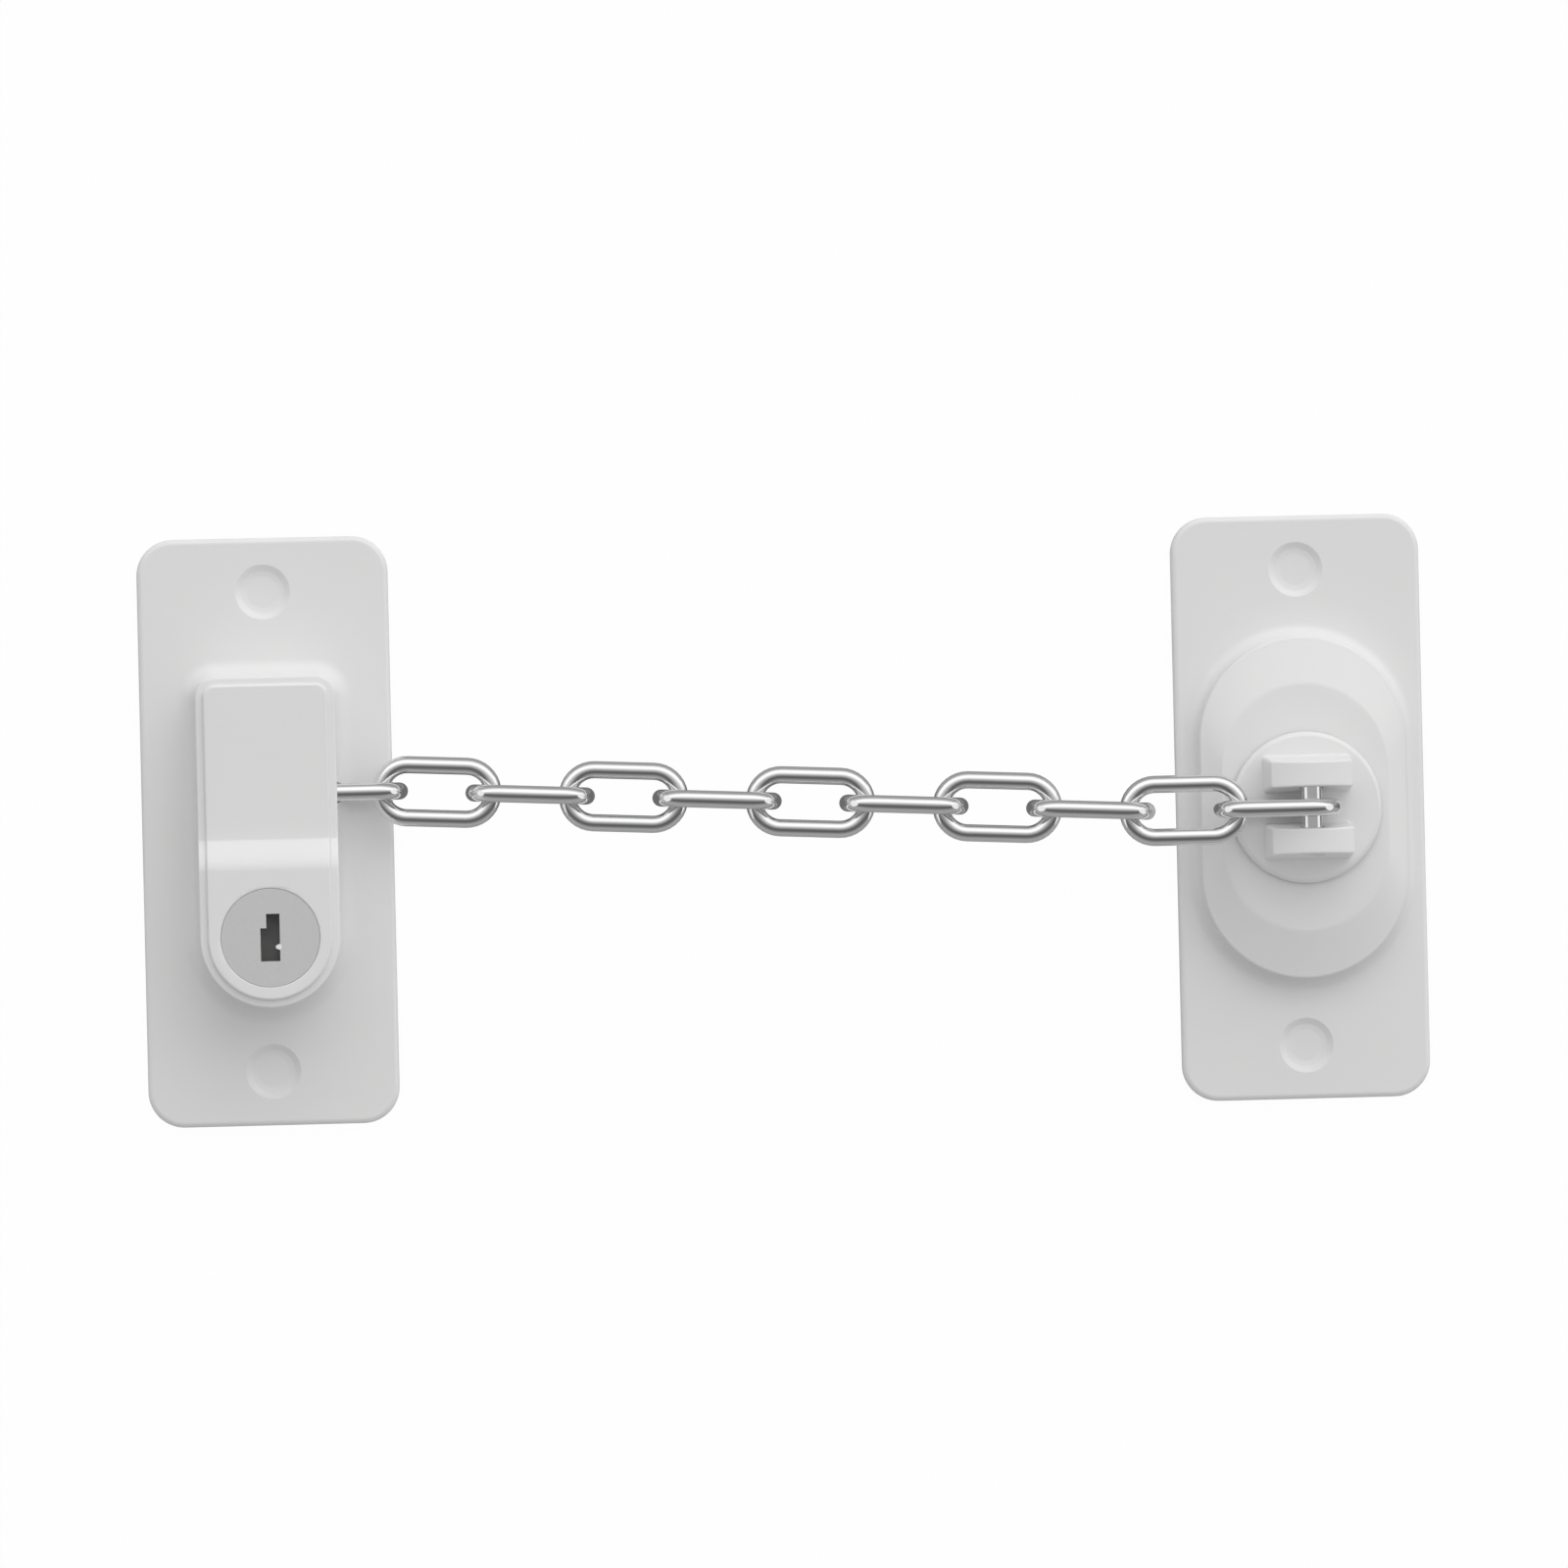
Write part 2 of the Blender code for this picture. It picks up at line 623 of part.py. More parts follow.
def lock_back_cover():
    """The plate in the back, with pillars under the cylinder and rails beside the bolt."""
    offset = COVER_LIP - SIDE_WALL - SEAT_GAP
    rings = [housing_ring(offset, PLATE_BACK), housing_ring(offset, COVER_FRONT)]
    cover = stack("lock_back_cover", rings)
    root = COVER_FRONT - COVER_THICKNESS / 2
    for number, turn in enumerate(PILLAR_TURNS, 1):
        x, y = PILLAR_RING * math.cos(turn), PLUG_Y + PILLAR_RING * math.sin(turn)
        join(cover, bar(f"cylinder_pillar_{number}", PILLAR_RADIUS, (x, y, root),
                        (x, y, SHELL_BOTTOM - SEAT_GAP)))
    left_rail_x = bolt_left() - SEAT_GAP
    left_rail = box("left_bolt_rail", (left_rail_x - RAIL_WIDTH, PLUG_Y - RAIL_WIDTH, root),
                    (left_rail_x, PLUG_Y - RAIL_WIDTH + RAIL_BACK_LENGTH + BOLT_TRAVEL,
                     COVER_FRONT + RAIL_HEIGHT))
    join(cover, left_rail)
    for number, (x, y) in enumerate(LOCK_SCREWS, 1):
        cut(cover, cover_screw_hole(f"lock_cover_hole_{number}", x, y, RUN_GAP, SCREW_LENGTH))
    return finish(cover, WHITE_PLASTIC)


# Cylinder, wafers and cam

def cylinder_shell():
    """The fixed body round the plug, with wafer grooves on four sides and a lug."""
    bore = BARREL_RADIUS + RUN_GAP
    shell = bar("cylinder_shell", SHELL_RADIUS, (0, PLUG_Y, SHELL_BOTTOM),
                (0, PLUG_Y, SHELL_TOP), ROUND_STEPS)
    lug = box("shell_lug",
              (-SHELL_LUG_WIDTH / 2, PLUG_Y + SHELL_RADIUS - BITE, SHELL_TOP - SHELL_LUG_LENGTH),
              (SHELL_LUG_WIDTH / 2, PLUG_Y + SHELL_RADIUS + SHELL_LUG_REACH, SHELL_TOP - BITE))
    join(shell, lug)
    barrel_bore = bar("barrel_bore", bore, (0, PLUG_Y, SHELL_BOTTOM - OVERRUN),
                      (0, PLUG_Y, SHELL_TOP + OVERRUN), ROUND_STEPS)
    cut(shell, barrel_bore)
    reach = BARREL_RADIUS + WAFER_TRAVEL + SEAT_GAP
    half = WAFER_WIDTH / 2 + SEAT_GAP
    low, high = SHELL_BOTTOM + WAFER_SET_IN, SHELL_TOP - WAFER_SET_IN / 2
    along = box("wafer_groove_along", (-half, PLUG_Y - reach, low), (half, PLUG_Y + reach, high))
    across = box("wafer_groove_across", (-reach, PLUG_Y - half, low), (reach, PLUG_Y + half, high))
    cut(shell, along, across)
    return finish(shell, SATIN_ZINC)


def wafer_heights():
    """The middle height of each wafer, from the front to the back."""
    return [SHELL_TOP - WAFER_SET_IN - number * WAFER_PITCH for number in range(WAFER_COUNT)]


def keyway_outline():
    """The stepped keyway with its ward, about the plug's axis, anticlockwise."""
    ward_low, ward_high = WARD_Y - WARD_HALF_HEIGHT, WARD_Y + WARD_HALF_HEIGHT
    return [
        (-KEYWAY_LEFT, -KEYWAY_BELOW),
        (KEYWAY_RIGHT, -KEYWAY_BELOW),
        (KEYWAY_RIGHT, ward_low),
        (KEYWAY_RIGHT - WARD_REACH, WARD_Y),
        (KEYWAY_RIGHT, ward_high),
        (KEYWAY_RIGHT, KEYWAY_ABOVE),
        (-KEYWAY_STEP_LEFT, KEYWAY_ABOVE),
        (-KEYWAY_STEP_LEFT, KEYWAY_STEP_Y),
        (-KEYWAY_LEFT, KEYWAY_STEP_Y),
    ]


def key_plug():
    """The plug: a wide round face, the barrel with its wafer slots, and a square tail."""
    axis = (0, PLUG_Y, 0)
    face = LOWER_FACE - PLUG_SET_BACK
    plug = bar("key_plug", BARREL_RADIUS, (0, PLUG_Y, SHELL_BOTTOM),
               (0, PLUG_Y, PLUG_HEAD_BOTTOM + BITE), ROUND_STEPS, origin=axis)
    head = bar("plug_head", PLUG_FACE_RADIUS, (0, PLUG_Y, PLUG_HEAD_BOTTOM), (0, PLUG_Y, face), ROUND_STEPS)
    tail = box("plug_tail", (-TAIL_WIDTH / 2, PLUG_Y - TAIL_WIDTH / 2, CAM_TOP - TAIL_LENGTH),
               (TAIL_WIDTH / 2, PLUG_Y + TAIL_WIDTH / 2, SHELL_BOTTOM + BITE))
    join(plug, head, tail)
    last_wafer = wafer_heights()[-1]
    slot_half = WAFER_THICKNESS / 2 + RUN_GAP
    keyway_bottom = last_wafer - slot_half - KEYWAY_END_WEB
    outline = [(x, PLUG_Y + y) for x, y in keyway_outline()]
    keyway = stack("keyway", [at_height(outline, keyway_bottom), at_height(outline, face + OVERRUN)])
    cut(plug, keyway)
    half = WAFER_WIDTH / 2 + RUN_GAP
    lug_x = WAFER_WIDTH / 2 + WAFER_LUG_REACH + RUN_GAP
    lug_top = WAFER_LUG_BOTTOM + WAFER_LUG_HEIGHT + WAFER_TRAVEL + RUN_GAP
    for number, height in enumerate(wafer_heights(), 1):
        slot = box(f"wafer_slot_{number}",
                   (-half, PLUG_Y - BARREL_RADIUS - OVERRUN, height - slot_half),
                   (half, PLUG_Y + BARREL_RADIUS + OVERRUN, height + slot_half))
        pocket = box(f"spring_pocket_{number}",
                     (half - BITE, PLUG_Y + SPRING_POCKET_BOTTOM, height - slot_half),
                     (lug_x, PLUG_Y + lug_top, height + slot_half))
        join(slot, pocket)
        cut(plug, slot)
    hole = bar("cam_screw_hole", CAM_SCREW_RADIUS + RUN_GAP, (0, PLUG_Y, CAM_TOP - TAIL_LENGTH - OVERRUN),
               (0, PLUG_Y, cam_screw_top() + RUN_GAP))
    cut(plug, hole)
    return finish(plug, SATIN_ZINC)


def wafer(number, height):
    """A flat tumbler with a window for the key, ends rounded to the barrel, and a spring lug."""
    low, high = height - WAFER_THICKNESS / 2, height + WAFER_THICKNESS / 2
    radius = BARREL_RADIUS - RUN_GAP
    half = WAFER_WIDTH / 2
    lean = math.degrees(math.asin(half / radius))
    outline = arc(0.0, PLUG_Y, radius, 90 - lean, 90 + lean, CORNER_STEPS)
    outline += arc(0.0, PLUG_Y, radius, 270 - lean, 270 + lean, CORNER_STEPS)
    plate = stack(f"wafer_{number}", [at_height(outline, low), at_height(outline, high)])
    lug = box(f"wafer_lug_{number}", (half - BITE / 2, PLUG_Y + WAFER_LUG_BOTTOM, low + RUN_GAP / 2),
              (half + WAFER_LUG_REACH, PLUG_Y + WAFER_LUG_BOTTOM + WAFER_LUG_HEIGHT, high - RUN_GAP / 2))
    join(plate, lug)
    window = box(f"wafer_window_{number}",
                 (WAFER_RIM_SIDE - half, PLUG_Y - radius + WAFER_RIM_BOTTOM, low - OVERRUN),
                 (half - WAFER_RIM_SIDE, PLUG_Y + radius - WAFER_RIM_TOP, high + OVERRUN))
    cut(plate, window)
    return finish(plate, BRASS)


def wafer_spring(number, height):
    """The coil under a wafer's lug, as one unbroken tube."""
    bottom = SPRING_POCKET_BOTTOM + RUN_GAP + SPRING_WIRE / 2
    top = WAFER_LUG_BOTTOM - RUN_GAP - SPRING_WIRE / 2
    centre_x = WAFER_WIDTH / 2 + RUN_GAP + SPRING_RADIUS + SPRING_WIRE
    total = SPRING_TURNS * SPRING_POINTS
    curve = bpy.data.curves.new(f"wafer_spring_{number}", "CURVE")
    curve.dimensions = "3D"
    curve.bevel_depth = SPRING_WIRE / 2
    curve.bevel_resolution = 1
    curve.use_fill_caps = True
    spline = curve.splines.new("POLY")
    spline.points.add(total)
    for index, point in enumerate(spline.points):
        turn = math.tau * index / SPRING_POINTS
        point.co = (centre_x + SPRING_RADIUS * math.cos(turn),
                    PLUG_Y + bottom + (top - bottom) * index / total,
                    height + SPRING_RADIUS * math.sin(turn), 1)
    return finish(place(f"wafer_spring_{number}", curve), BRIGHT_STEEL)


def cam_screw_top():
    """Where the cam screw ends inside the plug."""
    return CAM_TOP - TAIL_LENGTH + CAM_SCREW_GRIP


def cam_screw_profile(gap, top, bottom):
    """A countersunk screw up the plug's axis, or its room with a gap."""
    cone = CAM_SCREW_HEAD_RADIUS - CAM_SCREW_RADIUS
    sunk = CAM_BOTTOM + RUN_GAP / 2
    return [
        (0, top),
        (CAM_SCREW_RADIUS + gap, top),
        (CAM_SCREW_RADIUS + gap, sunk + cone),
        (CAM_SCREW_HEAD_RADIUS + gap, sunk),
        (CAM_SCREW_HEAD_RADIUS + gap, bottom),
        (0, bottom),
    ]


def cam():
    """The crank on the plug's tail, with the pin that drives the bolt."""
    disc = bar("cam", CAM_RADIUS, (0, PLUG_Y, CAM_BOTTOM), (0, PLUG_Y, CAM_TOP), ROUND_STEPS,
               origin=(0, PLUG_Y, 0))
    x = CAM_THROW * math.cos(CAM_REST_TURN)
    y = PLUG_Y + CAM_THROW * math.sin(CAM_REST_TURN)
    pin = bar("cam_pin", CAM_PIN_RADIUS, (x, y, BOLT_BOTTOM + RUN_GAP), (x, y, CAM_BOTTOM + BITE))
    join(disc, pin)
    half = TAIL_WIDTH / 2 + RUN_GAP
    socket = box("cam_socket", (-half, PLUG_Y - half, CAM_TOP - TAIL_LENGTH - SEAT_GAP),
                 (half, PLUG_Y + half, CAM_TOP + OVERRUN))
    sink = turned("cam_screw_sink", cam_screw_profile(RUN_GAP, CAM_TOP, CAM_BOTTOM - OVERRUN),
                  (0, PLUG_Y), SMALL_STEPS)
    cut(disc, socket, sink)
    return finish(disc, BRIGHT_STEEL)


def cam_screw():
    """The screw that holds the cam on the plug."""
    sunk = CAM_BOTTOM + RUN_GAP / 2
    profile = cam_screw_profile(0, cam_screw_top(), sunk)[:-2] + [(0, sunk)]
    return finish(turned("cam_screw", profile, (0, PLUG_Y), SMALL_STEPS), BRIGHT_STEEL)


def bolt_left():
    """The left side of the bolt's yoke plate."""
    return CAM_THROW * math.cos(CAM_REST_TURN) - CAM_PIN_RADIUS - SEAT_GAP - BOLT_WEB


def locking_bolt():
    """The sliding bolt: yoke plate, riser and the tongue that passes through the end link."""
    slot_left = CAM_THROW * math.cos(CAM_REST_TURN) - CAM_PIN_RADIUS - SEAT_GAP
    slot_right = CAM_THROW + CAM_PIN_RADIUS + SEAT_GAP
    slot_y = PLUG_Y + CAM_THROW * math.sin(CAM_REST_TURN)
    slot_half = CAM_PIN_RADIUS + SEAT_GAP
    riser_back = RISER_FRONT_Y - RISER_DEPTH
    origin = (TONGUE_LEFT, RISER_FRONT_Y, EXIT_Z)
    tongue_low, tongue_high = EXIT_Z - TONGUE_HEIGHT / 2, EXIT_Z + TONGUE_HEIGHT / 2
    bolt = box("locking_bolt", (TONGUE_LEFT, riser_back, BOLT_BOTTOM),
               (TONGUE_RIGHT, RISER_FRONT_Y, tongue_high), origin)
    tongue = box("bolt_tongue", (TONGUE_LEFT, RISER_FRONT_Y - BITE, tongue_low),
                 (TONGUE_RIGHT, LOWER_RIB_FACE - TONGUE_BACK, tongue_high))
    arm = box("bolt_arm", (slot_left, riser_back - RISER_DEPTH, BOLT_BOTTOM),
              (TONGUE_RIGHT, RISER_FRONT_Y - BITE, BOLT_TOP))
    yoke = box("bolt_yoke", (bolt_left(), slot_y - slot_half - BOLT_WEB, BOLT_BOTTOM),
               (slot_right + BOLT_WEB, riser_back - RISER_DEPTH / 2, BOLT_TOP))
    join(bolt, tongue, arm, yoke)
    slot = box("yoke_slot", (slot_left, slot_y - slot_half, BOLT_BOTTOM - OVERRUN),
               (slot_right, slot_y + slot_half, BOLT_TOP + OVERRUN))
    cut(bolt, slot)
    return finish(bolt, SATIN_ZINC)


# Chain

def link_turn(number):
    """Which way a link points: level at both ends of the chain, sloping between them."""
    climb = 0.0
    if 1 <= number <= CLIMBING_LINKS:
        climb = math.asin((PIN_Z - EXIT_Z) / (CLIMBING_LINKS * LINK_PITCH))
    slope = 0.0
    if 1 <= number <= SLOPING_LINKS:
        slope = math.asin(CHAIN_EXIT_Y / (SLOPING_LINKS * LINK_PITCH * math.cos(climb)))
    return Matrix.Rotation(-slope, 4, "Z") @ Matrix.Rotation(-climb, 4, "Y")


def hinge_points():
    """The point about which each link turns, and last the middle of the anchor's pin."""
    point = Vector((FIRST_HINGE_X, CHAIN_EXIT_Y, EXIT_Z))
    points = [point.copy()]
    for number in range(LINK_COUNT - 1):
        point += link_turn(number) @ Vector((LINK_PITCH, 0, 0))
        points.append(point.copy())
    reach = INNER_LENGTH - HINGE_SET_BACK - LINK_PLAY - PIN_RADIUS
    points.append(point + link_turn(LINK_COUNT - 1) @ Vector((reach, 0, 0)))
    return points


def link_curve():
    """A link as a closed wire, flat in its own XY plane, with the last link's wire at its origin."""
    radius = (LINK_WIDTH - WIRE) / 2
    left_centre = LINK_WIDTH / 2 - WIRE - HINGE_SET_BACK
    right_centre = INNER_LENGTH - HINGE_SET_BACK - (LINK_WIDTH / 2 - WIRE)
    points = arc(right_centre, 0.0, radius, -90, 90, BEND_STEPS)
    points += arc(left_centre, 0.0, radius, 90, 270, BEND_STEPS)
    curve = bpy.data.curves.new("chain_link", "CURVE")
    curve.dimensions = "3D"
    curve.bevel_depth = WIRE / 2
    curve.bevel_resolution = 2
    spline = curve.splines.new("POLY")
    spline.points.add(len(points) - 1)
    for point, (x, y) in zip(spline.points, points):
        point.co = (x, y, 0, 1)
    spline.use_cyclic_u = True
    return curve


def chain():
    """Every link, in turn on edge and flat to the plates."""
    points = hinge_points()
    for number in range(LINK_COUNT):
        turn = link_turn(number)
        if number % 2 == 0:
            turn = turn @ Matrix.Rotation(math.pi / 2, 4, "X")
        finish(place(f"chain_link_{number:02d}", link_curve(), points[number], turn), BRIGHT_STEEL)


# Anchor

ANCHOR_X = hinge_points()[-1].x


def boss_rings():
    """The oblong boss: hollow skirt, wall, round edge, slope and upper tier."""
    rings = [(BOSS_SKIRT, PLATE_BACK + PLATE_THICKNESS / 2)] + fillet(BOSS_SKIRT, PLATE_FRONT + RUN_GAP / 2)
    rings += [(0.0, BOSS_EDGE_Z - BOSS_EDGE_ROUND), (-BOSS_EDGE_ROUND, BOSS_EDGE_Z)]
    outlines = [at_height(oblong(BOSS_HALF_WIDTH + offset, BOSS_HALF_HEIGHT + offset, ANCHOR_X), height)
                for offset, height in rings]
    outlines.append(at_height(oblong(TIER_HALF_WIDTH, TIER_HALF_HEIGHT, ANCHOR_X), TIER_Z))
    return outlines


def anchor_housing():
    """The white moulding of the anchor side."""
    body = flange("anchor_housing", ANCHOR_X)
    cut_dishes(body, ANCHOR_X)
    join(body, stack("anchor_boss", boss_rings()))
    wide = oblong(BOSS_HALF_WIDTH - SIDE_WALL, BOSS_HALF_HEIGHT - SIDE_WALL, ANCHOR_X)
    narrow = oblong(TIER_HALF_WIDTH - SIDE_WALL, TIER_HALF_HEIGHT - SIDE_WALL, ANCHOR_X)
    hollow = stack("anchor_hollow", [
        at_height(wide, PLATE_BACK - OVERRUN),
        at_height(wide, ANCHOR_CEILING - TIER_RISE),
        at_height(narrow, ANCHOR_CEILING),
    ])
    lip = COVER_LIP - SIDE_WALL
    seat = oblong(BOSS_HALF_WIDTH + lip, BOSS_HALF_HEIGHT + lip, ANCHOR_X)
    rebate = stack("anchor_rebate", [at_height(seat, PLATE_BACK - OVERRUN), at_height(seat, REBATE_FRONT)])
    cut(body, hollow, rebate)
    for number, (x, y) in enumerate(anchor_screws(), 1):
        join(body, screw_boss(f"anchor_boss_{number}", x, y, BOSS_EDGE_Z - BOSS_EDGE_ROUND))
    for number, (x, y) in enumerate(anchor_screws(), 1):
        hole = cover_screw_hole(f"anchor_boss_hole_{number}", x, y, RUN_GAP, anchor_screw_length())
        cut(body, hole)
    stem_bore = bar("stem_bore", STEM_RADIUS + RUN_GAP, (ANCHOR_X, 0, ANCHOR_CEILING - OVERRUN),
                    (ANCHOR_X, 0, TIER_Z + OVERRUN), ROUND_STEPS)
    cut(body, stem_bore)
    return finish(body, WHITE_PLASTIC)


def anchor_screws():
    """The four cover screws of the anchor."""
    return [(ANCHOR_X + side * ANCHOR_SCREW_X, end * ANCHOR_SCREW_Y) for side in (-1, 1) for end in (-1, 1)]


def anchor_screw_length():
    """The anchor's shallower bosses take a shorter screw."""
    return BOSS_EDGE_Z - BOSS_EDGE_ROUND - PLATE_BACK - BITE


def anchor_back_cover():
    """The plate in the back of the anchor."""
    lip = COVER_LIP - SIDE_WALL - SEAT_GAP
    outline = oblong(BOSS_HALF_WIDTH + lip, BOSS_HALF_HEIGHT + lip, ANCHOR_X)
    cover = stack("anchor_back_cover", [at_height(outline, PLATE_BACK), at_height(outline, COVER_FRONT)])
    for number, (x, y) in enumerate(anchor_screws(), 1):
        cut(cover, cover_screw_hole(f"anchor_cover_hole_{number}", x, y, RUN_GAP, anchor_screw_length()))
    return finish(cover, WHITE_PLASTIC)


def ear_ring(inset, y):
    """A side view of one ear at a depth: straight drafted sides under an arch."""
    base = DISC_FRONT - DISC_THICKNESS / 2
    half = EAR_WIDTH / 2 - inset
    radius = EAR_ARCH - inset
    centre = EAR_TOP - EAR_ARCH
    shoulder = half - EAR_DRAFT
    lean = math.degrees(math.asin(shoulder / radius))
    crown = arc(0.0, centre, radius, 90 - lean, 90 + lean, 2 * CORNER_STEPS)
    points = [(half, base)] + crown + [(-half, base)]
    return [(ANCHOR_X + x, y, z) for x, z in points]


def ear(name, side):
    """One of the two ears that carry the pin."""
    inner, outer = side * EAR_GAP / 2, side * (EAR_GAP / 2 + EAR_DEPTH)
    small = EAR_EDGE * (1 - math.cos(math.pi / 4))
    rings = [
        ear_ring(0.0, inner),
        ear_ring(0.0, outer - side * EAR_EDGE),
        ear_ring(small, outer - side * small),
        ear_ring(EAR_EDGE, outer),
    ]
    return stack(name, rings)


def swivel_clevis():
    """The round disc with its two ears and the stem that turns in the boss."""
    half_round = DISC_EDGE * (1 - math.cos(math.pi / 4))
    profile = [
        (0, DISC_FRONT),
        (DISC_RADIUS - DISC_EDGE, DISC_FRONT),
        (DISC_RADIUS - half_round, DISC_FRONT - half_round),
        (DISC_RADIUS, DISC_FRONT - DISC_EDGE),
        (DISC_RADIUS, DISC_BACK),
        (STEM_RADIUS, DISC_BACK),
        (STEM_RADIUS, STEM_END),
        (0, STEM_END),
    ]
    swivel = turned("swivel_clevis", profile, (ANCHOR_X, 0))
    swivel.location.z = PIN_Z
    for vertex in swivel.data.vertices:
        vertex.co.z -= PIN_Z
    join(swivel, ear("upper_ear", 1), ear("lower_ear", -1))
    pin_hole = bar("pin_hole", PIN_RADIUS + RUN_GAP, (ANCHOR_X, -EAR_GAP / 2 - EAR_DEPTH - OVERRUN, PIN_Z),
                   (ANCHOR_X, EAR_GAP / 2 + EAR_DEPTH + OVERRUN, PIN_Z))
    screw_hole = bar("stem_screw_hole", STEM_SCREW_RADIUS + RUN_GAP, (ANCHOR_X, 0, STEM_END - OVERRUN),
                     (ANCHOR_X, 0, STEM_END + STEM_SCREW_GRIP - RUN_GAP))
    cut(swivel, pin_hole, screw_hole)
    return finish(swivel, WHITE_PLASTIC)


def hinge_pin():
    """The steel pin through both ears."""
    half = EAR_GAP / 2 + EAR_DEPTH - PIN_SHORT
    pin = bar("hinge_pin", PIN_RADIUS, (ANCHOR_X, -half, PIN_Z), (ANCHOR_X, half, PIN_Z), PIN_STEPS,
              origin=(ANCHOR_X, 0, PIN_Z))
    return finish(pin, BRIGHT_STEEL)


def washer_back():
    """The back face of the washer under the stem."""
    return STEM_END - SEAT_GAP - WASHER_THICKNESS


def swivel_washer():
    """The wide washer that keeps the stem in the boss."""
    hole = STEM_SCREW_RADIUS + RUN_GAP
    washer = bar("swivel_washer", WASHER_RADIUS, (ANCHOR_X, 0, washer_back()),
                 (ANCHOR_X, 0, washer_back() + WASHER_THICKNESS), ROUND_STEPS, origin=(ANCHOR_X, 0, 0))
    bore = bar("washer_bore", hole, (ANCHOR_X, 0, washer_back() - OVERRUN), (ANCHOR_X, 0, STEM_END))
    cut(washer, bore)
    return finish(washer, BRIGHT_STEEL)


def swivel_screw():
    """The pan head screw that holds the washer to the stem."""
    seat = washer_back() - RUN_GAP
    rim = STEM_SCREW_HEAD_RADIUS - SEAT_GAP
    top = STEM_END + STEM_SCREW_GRIP - 2 * RUN_GAP
    profile = [
        (0, top),
        (STEM_SCREW_RADIUS, top),
        (STEM_SCREW_RADIUS, seat),
        (STEM_SCREW_HEAD_RADIUS, seat),
        (STEM_SCREW_HEAD_RADIUS, seat - STEM_SCREW_HEAD_HEIGHT / 2),
        (rim, seat - STEM_SCREW_HEAD_HEIGHT),
        (0, seat - STEM_SCREW_HEAD_HEIGHT),
    ]
    return finish(turned("swivel_screw", profile, (ANCHOR_X, 0), SMALL_STEPS), BRIGHT_STEEL)


def build():
    """Every sub-part of the lock, the chain and the anchor."""
    lock_housing()
    lock_back_cover()
    adhesive_pad("lock_adhesive_pad", 0.0)
    for number, (x, y) in enumerate(LOCK_SCREWS, 1):
        cover_screw(f"lock_cover_screw_{number}", x, y, SCREW_LENGTH)
    cylinder_shell()
    key_plug()
    for number, height in enumerate(wafer_heights(), 1):
        wafer(number, height)
        wafer_spring(number, height)
    cam()
    cam_screw()
    locking_bolt()
    chain()
    anchor_housing()
    anchor_back_cover()
    adhesive_pad("anchor_adhesive_pad", ANCHOR_X)
    for number, (x, y) in enumerate(anchor_screws(), 1):
        cover_screw(f"anchor_cover_screw_{number}", x, y, anchor_screw_length() - RUN_GAP)
    swivel_clevis()
    hinge_pin()
    swivel_washer()
    swivel_screw()


build()
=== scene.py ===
# %% [markdown]
# # A window lock with a short chain
#
# Two white plates stick to a window and its frame. The left one carries a key
# lock, the right one a swivel, and a chain of eleven steel links joins them.
# The packed CAD model gives every place and every joint. This lesson dresses
# it: finer mouldings, round wire, and finishes made of shader nodes.

# %% Load the packed model
import math
from functools import partial

import bmesh
import bpy
import numpy as np
from mathutils import Matrix, Vector


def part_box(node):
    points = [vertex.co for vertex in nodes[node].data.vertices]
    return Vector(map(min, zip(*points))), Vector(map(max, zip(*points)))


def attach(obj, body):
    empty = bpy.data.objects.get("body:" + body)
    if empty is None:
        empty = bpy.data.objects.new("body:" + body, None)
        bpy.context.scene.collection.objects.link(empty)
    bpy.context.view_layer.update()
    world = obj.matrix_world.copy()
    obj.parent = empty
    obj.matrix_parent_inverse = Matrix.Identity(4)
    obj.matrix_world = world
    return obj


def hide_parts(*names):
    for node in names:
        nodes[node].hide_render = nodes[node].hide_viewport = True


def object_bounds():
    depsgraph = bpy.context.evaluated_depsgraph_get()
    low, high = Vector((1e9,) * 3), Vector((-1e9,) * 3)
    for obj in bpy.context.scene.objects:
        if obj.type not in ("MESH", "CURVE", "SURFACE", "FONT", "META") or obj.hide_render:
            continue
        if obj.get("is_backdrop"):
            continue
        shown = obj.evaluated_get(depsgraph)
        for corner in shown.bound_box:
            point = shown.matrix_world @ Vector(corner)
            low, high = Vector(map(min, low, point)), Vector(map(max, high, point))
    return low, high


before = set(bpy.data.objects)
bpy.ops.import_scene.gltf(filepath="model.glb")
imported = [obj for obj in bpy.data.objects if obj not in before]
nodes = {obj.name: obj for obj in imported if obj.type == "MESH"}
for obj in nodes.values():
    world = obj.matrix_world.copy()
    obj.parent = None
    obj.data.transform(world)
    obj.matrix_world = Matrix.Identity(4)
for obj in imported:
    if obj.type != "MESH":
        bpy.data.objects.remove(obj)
CAD_BOX = [list(corner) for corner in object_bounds()]
MM = 0.001


def in_mm(box):
    """The corners of a box in millimetres."""
    return [[round(value / MM, 2) for value in corner] for corner in box]


print("CAD box in mm:", in_mm(CAD_BOX))

# %% [markdown]
# ## The camera
#
# The photograph is taken from more than a metre away with a long lens, almost
# square on to the plates: the two plates look the same size, and their sides
# stay nearly parallel. The camera stands a little to the left and is rolled by
# a degree or so. The place comes from lining up the plates' corners, the disc
# and the ears with the picture.

# %% Set up the camera
FRAME_PIXELS = 1600
FOCAL_PIXELS = 8500
SENSOR = 36.0
AIM = Vector((78.58, 5.39, 0.0)) * MM
DISTANCE = 1269 * MM
YAW, TILT, ROLL = (math.radians(angle) for angle in (-3.436, 0.018, -1.350))

